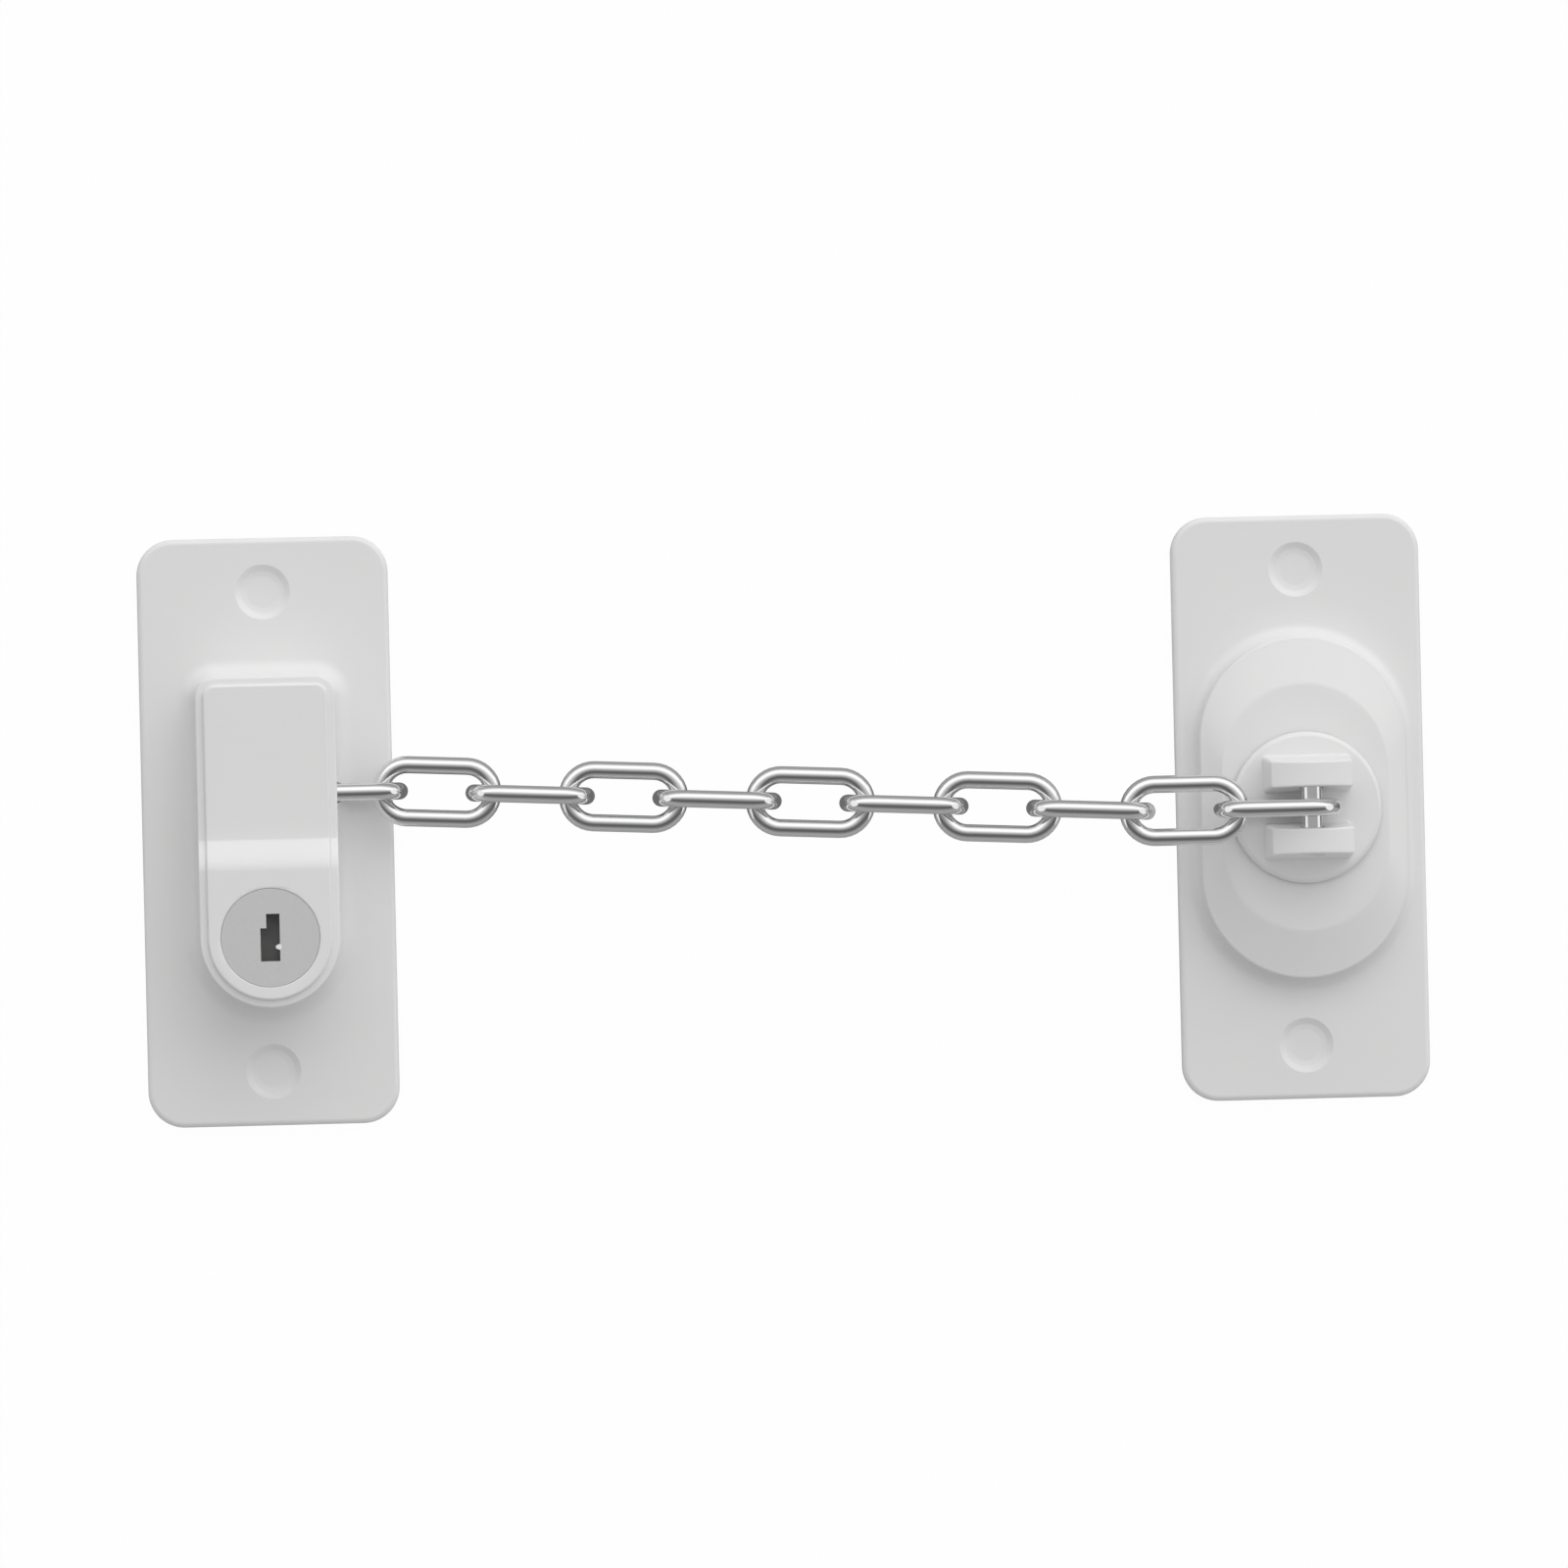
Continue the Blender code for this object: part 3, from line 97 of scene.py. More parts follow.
camera_data = bpy.data.cameras.new("camera")
camera_data.sensor_width = SENSOR
camera_data.lens = FOCAL_PIXELS / FRAME_PIXELS * SENSOR
camera_data.clip_start, camera_data.clip_end = 0.1, 50.0
camera = bpy.data.objects.new("camera", camera_data)
bpy.context.collection.objects.link(camera)
turn = Matrix.Rotation(YAW, 4, "Y") @ Matrix.Rotation(TILT, 4, "X") @ Matrix.Rotation(ROLL, 4, "Z")
camera.matrix_world = Matrix.Translation(AIM + turn @ Vector((0, 0, DISTANCE))) @ turn
bpy.context.scene.camera = camera
print("lens in mm:", round(camera_data.lens, 1), "camera at:", [round(v, 3) for v in camera.location])

# %% [markdown]
# ## Shader maths that reads like sums
#
# A finish is a small calculation: a little noise here, a little more roughness
# there. Wired by hand, that is a page of nodes. A class that wraps one output
# socket and overloads the arithmetic operators lets us write the sum itself,
# and each operator adds the Math node that does it.

# %% Wrap a socket
def maths(operation, swapped=False):
    """A method that adds the Math node of one operation on a wire and a second value."""
    def result(self, other=0.0):
        node = self.tree.nodes.new("ShaderNodeMath")
        node.operation = operation
        for slot, value in zip(node.inputs, (other, self) if swapped else (self, other)):
            plug_in(self.tree, slot, value)
        return Wire(self.tree, node.outputs[0])
    return result


class Wire:
    """One number or colour that flows between shader nodes. Sums on it add Math nodes."""

    def __init__(self, tree, socket):
        self.tree, self.socket = tree, socket

    __add__ = maths("ADD")
    __radd__ = maths("ADD", swapped=True)
    __sub__ = maths("SUBTRACT")
    __rsub__ = maths("SUBTRACT", swapped=True)
    __mul__ = maths("MULTIPLY")
    __rmul__ = maths("MULTIPLY", swapped=True)
    below = maths("LESS_THAN")
    largest = maths("MAXIMUM")
    smallest = maths("MINIMUM")
    size = maths("ABSOLUTE")


def plug_in(tree, slot, value):
    """Links a wire to a socket, or sets the socket to a plain value."""
    if isinstance(value, Wire):
        tree.links.new(value.socket, slot)
    else:
        slot.default_value = value


print("a wire knows:", *(name.strip("_") for name, call in vars(Wire).items() if callable(call)))

# %% [markdown]
# A finish is one Principled shader and whatever feeds it. Numbers that are the
# same all over go straight onto the shader's sockets, which keeps them in an
# exported model. Only what changes over the surface is wired.

# %% Build a finish
def grey(level, warmth=0.0):
    """A grey as a colour, a little warmer or cooler by moving red and blue apart."""
    return (level * (1 + warmth), level, level * (1 - warmth), 1.0)


class Finish:
    """A material in the making: one Principled shader and one way to add any other node."""

    def __init__(self, name, **constants):
        self.material = bpy.data.materials.new(name)
        self.material.use_nodes = True
        self.tree = self.material.node_tree
        self.shader = self.tree.nodes["Principled BSDF"]
        for socket, value in constants.items():
            self.shader.inputs[socket.replace("_", " ")].default_value = value

    def node(self, kind, inputs=(), output=0, **settings):
        """Adds a node: first its settings, then the values or wires of its sockets."""
        node = self.tree.nodes.new("ShaderNode" + kind)
        for setting, value in settings.items():
            setattr(node, setting, value)
        for slot, value in dict(inputs).items():
            plug_in(self.tree, node.inputs[slot], value)
        return Wire(self.tree, node.outputs[output])

    def place(self):
        """The point on the object, in metres."""
        return self.node("TexCoord", output="Object")

    def axis(self, letter):
        """One coordinate of that point."""
        return self.node("SeparateXYZ", {"Vector": self.place()}, output=letter)

    def noise(self, size, detail=2.0, roughness=0.5, place=None):
        """Smooth random values from 0 to 1, with blobs of about this size in metres."""
        return self.node("TexNoise", {"Vector": place or self.place(), "Scale": 1 / size,
                                      "Detail": detail, "Roughness": roughness}, output="Fac")

    def cells(self, size):
        """Distances in a pattern of cells of about this size in metres."""
        return self.node("TexVoronoi", {"Vector": self.place(), "Scale": 1 / size}, output="Distance")

    def mix(self, share, first, second):
        """A blend of two colours."""
        node = self.tree.nodes.new("ShaderNodeMix")
        node.data_type = "RGBA"
        for slot, value in (("Factor_Float", share), ("A_Color", first), ("B_Color", second)):
            plug_in(self.tree, next(s for s in node.inputs if s.identifier == slot), value)
        return Wire(self.tree, next(s for s in node.outputs if s.identifier == "Result_Color"))

    def feed(self, socket, wire):
        """Wires something that changes over the surface into the shader."""
        plug_in(self.tree, self.shader.inputs[socket], wire)

    def bump(self, height, depth):
        """Raises the surface by a pattern, this many metres at its highest."""
        bump = self.node("Bump", {"Height": height, "Distance": depth, "Strength": 1.0}, output="Normal")
        self.feed("Normal", bump)

    def glow(self, strength):
        """A shader that only gives off white light."""
        return self.node("Emission", {"Color": grey(1.0), "Strength": strength})

    def surface(self, shader):
        """Makes a shader the one that the surface shows."""
        plug_in(self.tree, self.tree.nodes["Material Output"].inputs["Surface"], shader)


print("a slightly warm grey:", [round(v, 3) for v in grey(0.8, 0.01)])

# %% [markdown]
# ## White moulded plastic
#
# The plates, the lock block and the swivel are ABS from a polished mould. It is
# satin and not quite even: the sheen wanders a little where the plastic cooled
# at different speeds, and up close there is a fine grain. Both are noise,
# coarse or fine, and read Object coordinates, so they sit in the plastic.

# %% Make the white plastic
UM = 0.001 * MM
CLOUD_SIZE, SPECK_SIZE = 18.0 * MM, 1.2 * MM
CLOUD_DARK, CLOUD_PALE, WARMTH = 0.985, 1.015, 0.002
SHEEN_SHIFT, CLOUD_SHEEN, SPECK_SHEEN = -0.04, 0.06, 0.02


def moulded_plastic(name, level, roughness, grain_size, grain_depth):
    """A satin thermoplastic: cloudy sheen, faint specks and a fine grain.

    Roughness: given - 0.04 + 0.06 * cloud + 0.02 * specks."""
    finish = Finish(name, IOR=1.5)
    cloud = finish.noise(CLOUD_SIZE, detail=3.0)
    specks = finish.noise(SPECK_SIZE, detail=2.0)
    dark, pale = grey(level * CLOUD_DARK, WARMTH), grey(level * CLOUD_PALE, WARMTH)
    finish.feed("Base Color", finish.mix(cloud, dark, pale))
    finish.feed("Roughness", roughness + SHEEN_SHIFT + CLOUD_SHEEN * cloud + SPECK_SHEEN * specks)
    finish.bump(finish.noise(grain_size, detail=4.0, roughness=0.6), grain_depth)
    return finish.material


white_plastic = moulded_plastic("white_plastic", 0.80, 0.38, 350 * UM, 3.5 * UM)
cover_plastic = moulded_plastic("cover_plastic", 0.74, 0.55, 250 * UM, 11 * UM)
print("plastics:", white_plastic.name, cover_plastic.name)

# %% [markdown]
# ## Foam tape
#
# The pads are double-sided acrylic foam. Cut foam shows closed cells of a few
# tenths of a millimetre, so a Voronoi pattern gives the pits, and the cell
# walls catch a little more light than the pits do.

# %% Make the foam
CELL_SIZE, CELL_DEPTH, CRUMB_SIZE, CRUMB_SHARE = 450 * UM, 60 * UM, 200 * UM, 0.4
PIT, CELL_WALL = grey(0.50, 0.01), grey(0.70, 0.01)
foam = Finish("foam_tape", Roughness=0.9, IOR=1.4)
pores = foam.cells(CELL_SIZE)
foam.feed("Base Color", foam.mix(pores, PIT, CELL_WALL))
foam.bump(pores + CRUMB_SHARE * foam.noise(CRUMB_SIZE), CELL_DEPTH)
foam_tape = foam.material
print("foam cells in mm:", round(CELL_SIZE / MM, 2))

# %% [markdown]
# ## Metals
#
# Five metals meet here: chromed wire for the links and the pin, die-cast zinc
# for the plug, the cylinder and the bolt, pressed brass for the wafers, and
# plated or spring steel for the small parts. They differ in colour, in how much
# they blur what they mirror, and in the marks of how they were made.

# %% Make the metals
METAL_CLOUD, METAL_DARK = 6.0 * MM, 0.94


def bare_metal(name, colour, roughness, spread, mark_size, mark_depth, stretch=(1, 1, 1)):
    """A metal whose sheen varies, with marks that can be stretched into lines.

    Roughness: given + spread * (marks - 1/2)."""
    finish = Finish(name, Metallic=1.0)
    marks_at = finish.node("VectorMath", {0: finish.place(), 1: stretch}, operation="MULTIPLY")
    marks = finish.noise(mark_size, detail=4.0, place=marks_at)
    cloud = finish.noise(METAL_CLOUD, detail=2.0)
    dark = (*(value * METAL_DARK for value in colour), 1.0)
    finish.feed("Base Color", finish.mix(cloud, dark, (*colour, 1.0)))
    finish.feed("Roughness", roughness + spread * (marks - 0.5))
    finish.bump(marks, mark_depth)
    return finish.material


chromed_steel = bare_metal("chromed_steel", (0.85, 0.85, 0.86), 0.11, 0.06, 800 * UM, 2 * UM)
satin_zinc = bare_metal("satin_zinc", (0.62, 0.62, 0.62), 0.42, 0.10, 500 * UM, 4 * UM)
brass = bare_metal("brass", (0.80, 0.60, 0.28), 0.30, 0.15, 300 * UM, 3 * UM, (1, 8, 8))
spring_steel = bare_metal("spring_steel", (0.55, 0.55, 0.57), 0.25, 0.10, 200 * UM, 2 * UM)
zinc_plated_steel = bare_metal("zinc_plated_steel", (0.70, 0.71, 0.74), 0.28, 0.12, 600 * UM, 3 * UM)
print("metals:", chromed_steel.name, satin_zinc.name, brass.name, spring_steel.name, zinc_plated_steel.name)

# %% [markdown]
# ## Surfaces from grids
#
# Every new piece is a grid of points worked out with numpy: rows are rings or
# profiles, columns run along them. One helper turns such a grid into faces,
# others make a mesh of it, merge the doubled points at seams and poles, turn the
# faces outwards, and keep flat faces flat by weighting their normals.

# %% Turn grids into objects
SAME_PLACE, SHARP_ANGLE, FLATNESS = 0.2 * UM, 32, 100


def grid_faces(rows, columns, start=0, wrap=False):
    """Faces between neighbouring rows and columns, as point numbers row * columns + column."""
    row = np.arange(rows - 1)[:, None]
    column = np.arange(columns if wrap else columns - 1)[None, :]
    after = (column + 1) % columns
    corners = (row * columns + column, row * columns + after,
               (row + 1) * columns + after, (row + 1) * columns + column)
    return np.stack(np.broadcast_arrays(*corners), axis=-1).reshape(-1, 4) + start


def mesh_of(name, points, faces):
    """A mesh from points[..., xyz] and lists of point numbers."""
    mesh = bpy.data.meshes.new(name)
    mesh.from_pydata(points.reshape(-1, 3).tolist(), [], faces)
    return mesh


def solid_mesh(name, rings, *caps):
    """A closed mesh from rings[row, column, xyz], and the grids that cap its ends."""
    points, faces, start = [], [], 0
    for grid in (rings, *caps):
        rows, columns = grid.shape[:2]
        points.append(grid.reshape(-1, 3))
        faces.append(grid_faces(rows, columns, start, wrap=grid is rings))
        start += rows * columns
    return tidied(mesh_of(name, np.concatenate(points), np.concatenate(faces).tolist()))


def grid_mesh(name, grid):
    """An open mesh from one grid of points."""
    return mesh_of(name, grid, grid_faces(*grid.shape[:2]).tolist())


def prism_mesh(name, loops):
    """A closed mesh from loops of points, with a flat face over the first loop and over the last."""
    rows, columns = loops.shape[:2]
    faces = grid_faces(rows, columns, wrap=True).tolist()
    faces += [list(range(columns))[::-1], list(range((rows - 1) * columns, rows * columns))]
    return tidied(mesh_of(name, loops, faces))


def fanned_mesh(name, first, last):
    """A closed mesh between two loops in mm, each end a fan of triangles round its middle."""
    loops = np.array((first, first, last, last)) * MM
    for end in (0, -1):
        loops[end] = loops[end].mean(axis=0)
    return solid_mesh(name, loops)


def tidied(mesh):
    """Merges a mesh's doubled points, drops faces without area and turns the rest outwards."""
    bm = bmesh.new()
    bm.from_mesh(mesh)
    bmesh.ops.remove_doubles(bm, verts=bm.verts, dist=SAME_PLACE)
    bmesh.ops.dissolve_degenerate(bm, edges=bm.edges, dist=SAME_PLACE)
    bmesh.ops.recalc_face_normals(bm, faces=bm.faces)
    bm.to_mesh(mesh)
    bm.free()
    mesh.validate()
    return mesh


def add_object(data):
    """Puts a mesh or a lamp into the scene at the origin, under its own name."""
    item = bpy.data.objects.new(data.name, data)
    bpy.context.collection.objects.link(item)
    return item


def carve(item, tool_meshes, operation="DIFFERENCE"):
    """Takes tool shapes away from a piece, or adds them, and keeps only the result."""
    tools = [add_object(mesh) for mesh in tool_meshes]
    for tool in tools:
        boolean = item.modifiers.new("carve", "BOOLEAN")
        boolean.operation, boolean.solver, boolean.object = operation, "EXACT", tool
    bake(item)
    for tool in tools:
        bpy.data.objects.remove(tool)


def bake(item):
    """Replaces a piece's mesh by what its modifiers make of it."""
    depsgraph = bpy.context.evaluated_depsgraph_get()
    made = bpy.data.meshes.new_from_object(item.evaluated_get(depsgraph), depsgraph=depsgraph)
    item.modifiers.clear()
    item.data = made


def smooth(item):
    """Smooth shading with sharp edges past an angle, and flat faces kept flat."""
    item.data.shade_smooth()
    item.data.set_sharp_from_angle(angle=math.radians(SHARP_ANGLE))
    weighted = item.modifiers.new("flat faces", "WEIGHTED_NORMAL")
    weighted.keep_sharp = True
    weighted.weight = FLATNESS
    bake(item)
    return item


def dress(item, material, body, replaced):
    """Gives a finished piece its material and its body, and hides the CAD nodes that it stands for."""
    item.data.materials.clear()
    item.data.materials.append(material)
    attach(item, body)
    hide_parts(*replaced)
    points = np.empty(3 * len(item.data.vertices))
    item.data.vertices.foreach_get("co", points)
    points = points.reshape(-1, 3) / MM
    print(item.name, "faces", len(item.data.polygons), "mm", points.min(0).round(2), points.max(0).round(2))


print("faces of a 3 by 4 grid:", len(grid_faces(3, 4)), "wrapped:", len(grid_faces(3, 4, wrap=True)))

# %% [markdown]
# ## Outlines that grow along their own normals
#
# A moulding such as the lock block is one profile carried round an outline.
# The outline is stored as base points and outward directions, so a ring at any
# offset is base + offset * direction. The plate has its own outline. To lay a
# flat face between the two without folds, each plate point is paired with the
# block point that lies in its direction from the block's nearest round centre.

# %% Walk round a plate
PLATE_HALF = np.array((19.0, 44.5)) * MM
PLATE_CORNER = 5.5 * MM
PLATE_BACK, PLATE_FRONT, PLATE_EDGE = 1.1 * MM, 3.1 * MM, 0.85 * MM


def unit(vectors):
    """Vectors scaled to length one."""
    return vectors / np.linalg.norm(vectors, axis=-1, keepdims=True)


def line(start, end, steps):
    """Points from start towards end, without the end."""
    share = np.arange(steps)[:, None] / steps
    return (1 - share) * start + share * end


def plan(x, y):
    """Flat points from their x and y, of which one may be the same for all."""
    return np.stack(np.broadcast_arrays(x, y), axis=-1)


def rays(angles):
    """Directions of length one at some angles."""
    return plan(np.cos(angles), np.sin(angles))


def ways(x, y, count):
    """The same direction for a number of points."""
    return np.tile((float(x), float(y)), (count, 1))


def corner_walk(centre, steps=(18, 14, 14)):
    """The plate's edge through its upper right corner, as seen from a centre.

    It goes up the side from the centre's height, round the corner, and along the
    end to above the centre. Returns the points, their outward directions, and the
    directions in which they lie from the centre."""
    half_x, half_y = PLATE_HALF
    bend = np.array((half_x - PLATE_CORNER, half_y - PLATE_CORNER))
    side = line((half_x, centre[1]), (half_x, bend[1]), steps[0])
    ray = rays(np.arange(steps[1]) / steps[1] * math.pi / 2)
    top = line((bend[0], half_y), (centre[0], half_y), steps[2])
    last = np.array([(centre[0], half_y)])
    points = np.concatenate((side, bend + PLATE_CORNER * ray, top, last))
    outward = np.concatenate((ways(1, 0, steps[0]), ray, ways(0, 1, steps[2] + 1)))
    return points, outward, unit(points - centre)


def below(walk):
    """The same walk through the lower right corner, from the end up to the side."""
    return [part[::-1] * (1, -1) for part in walk]


def mirror_round(right):
    """A whole loop from its right half, which runs from the bottom centre to the top centre."""
    left = right[-2:0:-1] * (-1, 1)
    return np.concatenate((right, left))


walk = corner_walk((0.0, 10 * MM))
print("corner walk:", len(walk[0]), "points from", walk[0][0] / MM, "to", walk[0][-1] / MM, "mm")

# %% [markdown]
# ## The lock housing
#
# One moulding: the plate, a bullet-shaped block that grows out of it with a
# hollow skirt, a narrow ledge round the block's face, and a face that steps up
# towards the key. The step is an S that turns up quickly and runs out slowly.
# All of it is one closed surface: rings from the hollow inside, over the back
# and round the plate's edge, up the skirt to the face, and two caps whose rows
# lie at equal heights, so that the step stays crisp.

# %% Shape the lock block's outline
HALF_BLOCK = 10.5 * MM
BLOCK_TOP, BLOCK_CORNER, PLUG_Y = 23.3 * MM, 3.0 * MM, -15.8 * MM
STEP_TOP, STEP_FOOT, STEP_RISE, UPPER_FACE = -1.0 * MM, -5.8 * MM, 2.2 * MM, 16.1 * MM
STEP_LEAN = 0.7
CAP_COLUMNS, STEP_ROWS, SIDE_ROWS = 10, 18, 12


def face_height(y):
    """Height of the block's face: flat, then up by RISE * (3 u^2 - 2 u^3).

    u = t^0.7, and t goes from 0 to 1 over the step."""
    share = np.clip((STEP_TOP - y) / (STEP_TOP - STEP_FOOT), 0, 1) ** STEP_LEAN
    return UPPER_FACE + STEP_RISE * share ** 2 * (3 - 2 * share)


def lock_outlines():
    """The plate's and the block's loops, each with its outward directions, and a cap's row count."""
    low = below(corner_walk((0.0, -PLUG_Y)))
    bend = (HALF_BLOCK - BLOCK_CORNER, BLOCK_TOP - BLOCK_CORNER)
    heights = np.concatenate((np.linspace(PLUG_Y, STEP_FOOT, STEP_ROWS // 2 + 1)[1:],
                              np.linspace(STEP_FOOT, STEP_TOP, STEP_ROWS + 1)[1:],
                              np.linspace(STEP_TOP, bend[1], SIDE_ROWS + 2)[1:-1]))
    high = corner_walk(bend)
    across = np.linspace(bend[0], 0, CAP_COLUMNS + 1)[1:]
    side_way, end_way = ways(1, 0, len(heights)), ways(0, 1, len(across))
    plate = np.concatenate((low[0], plan(PLATE_HALF[0], heights), high[0], plan(across, PLATE_HALF[1])))
    plate_way = np.concatenate((low[1], side_way, high[1], end_way))
    block = np.concatenate(((0, PLUG_Y) + HALF_BLOCK * low[2], plan(HALF_BLOCK, heights),
                            bend + BLOCK_CORNER * high[2], plan(across, BLOCK_TOP)))
    block_way = np.concatenate((low[2], side_way, high[2], end_way))
    rows = len(low[0]) + len(heights) + len(high[0])
    return [mirror_round(part) for part in (plate, plate_way, block, block_way)], rows


(LOCK_PLATE, LOCK_PLATE_WAY, BLOCK, BLOCK_WAY), CAP_ROWS = lock_outlines()
print("lock loop:", len(BLOCK), "points; the face rises by", STEP_RISE / MM, "mm")

# %% [markdown]
# Each ring has an offset and a height, and together they draw the profile.
# Quarter circles round its edges: hollow ones where a wall rises from the plate
# or the ledge, full ones where it turns over onto the ledge or the face.

# %% Rings and caps
SKIRT, SKIRT_FLAT, LEDGE, LEDGE_DROP, LEDGE_FLAT = (v * MM for v in (2.8, 0.6, 1.2, 0.9, 0.25))
FACE_EDGE, FILLET, BACK_EDGE = 0.3 * MM, 0.2 * MM, 0.15 * MM
WALL, LIP, REBATE, ROOF = -1.8 * MM, -0.3 * MM, 2.5 * MM, 1.6 * MM


def ring(base, way, offset, height):
    """A loop of 3-D points at an offset, with one height for all or one for each point."""
    flat = base + offset * way
    return np.column_stack((flat, np.broadcast_to(height, len(flat))))


def quarter_round(radius, steps, hollow=False):
    """Pairs of a quarter circle, from the wall onto the face or, if hollow, from the floor up the wall.

    Solid: back = r (1 - cos a), drop = r (1 - sin a). Hollow: out and rise, the other way round."""
    angle = np.linspace(0, math.pi / 2, steps + 1)
    back, drop = radius * (1 - np.cos(angle)), radius * (1 - np.sin(angle))
    return plan(drop, back) if hollow else plan(back, drop)


def edge(loop, offset, height, radius, steps):
    """Rings over a solid edge, from the wall at this offset up to the face at this height."""
    return [loop(offset - back, height - drop) for back, drop in quarter_round(radius, steps)]


def fillet(loop, offset, height, radius, steps):
    """Rings up a hollow corner, from the floor at this height up to the wall at this offset."""
    return [loop(offset + out, height + rise) for out, rise in quarter_round(radius, steps, hollow=True)]


def foot_rings(boss, plate, skirt, flat):
    """From the foot of the hollow over the back and the plate's rounded edge to the top of the skirt."""
    rings = [boss(WALL, REBATE), boss(LIP, REBATE), boss(LIP, PLATE_BACK)]
    rings += [plate(-BACK_EDGE, PLATE_BACK), plate(0.0, PLATE_BACK + BACK_EDGE)]
    rings += edge(plate, 0.0, PLATE_FRONT, PLATE_EDGE, steps=6)
    rings += [boss(skirt + flat, PLATE_FRONT)]
    return rings + fillet(boss, 0.0, PLATE_FRONT, skirt, steps=12)


def cap(loop, rows, columns, height):
    """A face across a symmetric loop: x goes from +w to -w in each row, z = height(x, y)."""
    right = loop[:rows, :2]
    share = np.linspace(1, -1, 2 * columns + 1)
    x = right[:, :1] * share
    y = np.broadcast_to(right[:, 1:2], x.shape)
    return np.stack((x, y, height(x, y)), axis=-1)


def lock_rings():
    """The closed profile, from the hollow's ceiling round the plate to the face."""
    block, plate = partial(ring, BLOCK, BLOCK_WAY), partial(ring, LOCK_PLATE, LOCK_PLATE_WAY)
    level = face_height(BLOCK[:, 1])
    ledge = level - LEDGE_DROP
    rings = [block(WALL, level - ROOF)] + foot_rings(block, plate, SKIRT, SKIRT_FLAT)
    rings += edge(block, 0.0, ledge, FACE_EDGE, steps=4)
    rings += [block(-LEDGE + LEDGE_FLAT, ledge)]
    rings += fillet(block, -LEDGE, ledge, FILLET, steps=3)
    rings += edge(block, -LEDGE, level, FACE_EDGE, steps=4)
    return np.array(rings)


lock_surface = lock_rings()
face_cap = cap(lock_surface[-1], CAP_ROWS, CAP_COLUMNS, lambda x, y: face_height(y))
roof_cap = cap(lock_surface[0], CAP_ROWS, CAP_COLUMNS, lambda x, y: face_height(y) - ROOF)
lock_mesh = solid_mesh("lock_housing_fine", lock_surface, face_cap, roof_cap)
print("lock surface:", lock_surface.shape, "->", len(lock_mesh.polygons), "faces")

# %% [markdown]
# Round things, such as the two blind dishes, the seat of the plug and later
# the disc of the swivel, are profiles turned about an upright line.

# %% Turn a profile, and carve the lock housing
UPRIGHT, LYING = (0, 1, 2), (0, 2, 1)


def turned(name, profile, centre, steps=96, order=UPRIGHT):
    """A profile of (radius, height) in mm, turned about an upright axis; radius 0 closes it.

    LYING swaps y and z, so the axis lies along y and the centre is (x, z)."""
    profile = np.asarray(profile, float) * MM
    angle = np.arange(steps) * 2 * math.pi / steps
    x = centre[0] + profile[:, :1] * np.cos(angle)
    y = centre[1] + profile[:, :1] * np.sin(angle)
    points = np.stack(np.broadcast_arrays(x, y, profile[:, 1:2]), axis=-1)
    return solid_mesh(name, points[..., order])


def drill(name, hole, centre, steps=96):
    """A round bar to cut a hole with, from the hole's radius, foot and head in mm."""
    radius, low, high = hole
    return turned(name, [(0, low), (radius, low), (radius, high), (0, high)], centre, steps)


def rounded_profile(points, radii, steps=5):
    """A profile with its corners rounded: an arc of the given radius fits into each corner."""
    points = np.asarray(points, float)
    made = [points[0]]
    for before, corner, after, radius in zip(points, points[1:], points[2:], radii[1:-1]):
        if radius == 0:
            made.append(corner)
            continue
        one, two = unit(before - corner), unit(after - corner)
        half = math.acos(np.clip(one @ two, -1, 1)) / 2
        reach = radius / math.tan(half)
        middle = corner + unit(one + two) * radius / math.sin(half)
        start, end = corner + one * reach - middle, corner + two * reach - middle
        made += [middle + radius * unit(start * (1 - share) + end * share)
                 for share in np.linspace(0, 1, steps + 1)]
    return np.array(made + [points[-1]])


DISH_Y = 36.3 * MM
DISH = [(0, 6.0), (6.2, 6.0), (6.2, 3.12), (4.15, 3.1), (3.25, 2.5), (2.4, 2.36), (0, 2.36)]
DISH_RADII = (0, 0, 0, 0.3, 0.5, 1.0, 0)
SEAT = [(0, 16.4), (7.43, 16.4), (7.43, 18.18), (7.46, 18.26), (7.56, 18.32), (7.9, 19.5), (0, 19.5)]
MOUTH_Y, MOUTH_HALF, MOUTH_HEIGHTS, MOUTH_DEPTHS = 5.7, 1.6, (3.35, 14.4), (8.1, 16.0)
STEM_BORE, CAM_SCREW_HOLE, SCREW_HOLE = (4.2, 5.0, 11.0), (1.1, 5.0, 9.0), (1.5, 5.0, 9.8)


def dish_tools(x):
    """A plate's two blind screw dishes: a steep rim, a gentle slope inside it and a flat floor."""
    profile = rounded_profile(DISH, DISH_RADII)
    return [turned("dish", profile, (x, y), steps=64) for y in (DISH_Y, -DISH_Y)]


def chain_mouth():
    """The slot in the right wall: a stadium on edge, carried along x."""
    low, high = MOUTH_HEIGHTS[0] + MOUTH_HALF, MOUTH_HEIGHTS[1] - MOUTH_HALF
    angle = np.linspace(0, math.pi, 13)
    y = MOUTH_Y + MOUTH_HALF * np.concatenate((np.cos(angle), -np.cos(angle)))
    z = np.concatenate((high + MOUTH_HALF * np.sin(angle), low - MOUTH_HALF * np.sin(angle)))
    return fanned_mesh("chain_mouth", *(np.column_stack((np.full_like(y, x), y, z)) for x in MOUTH_DEPTHS))


lock_housing = add_object(lock_mesh)
plug_seat = turned("plug_seat", SEAT, (0, PLUG_Y), steps=120)
carve(lock_housing, [*dish_tools(0), plug_seat, chain_mouth()])
dress(smooth(lock_housing), white_plastic, "lock", ["lock_housing"])

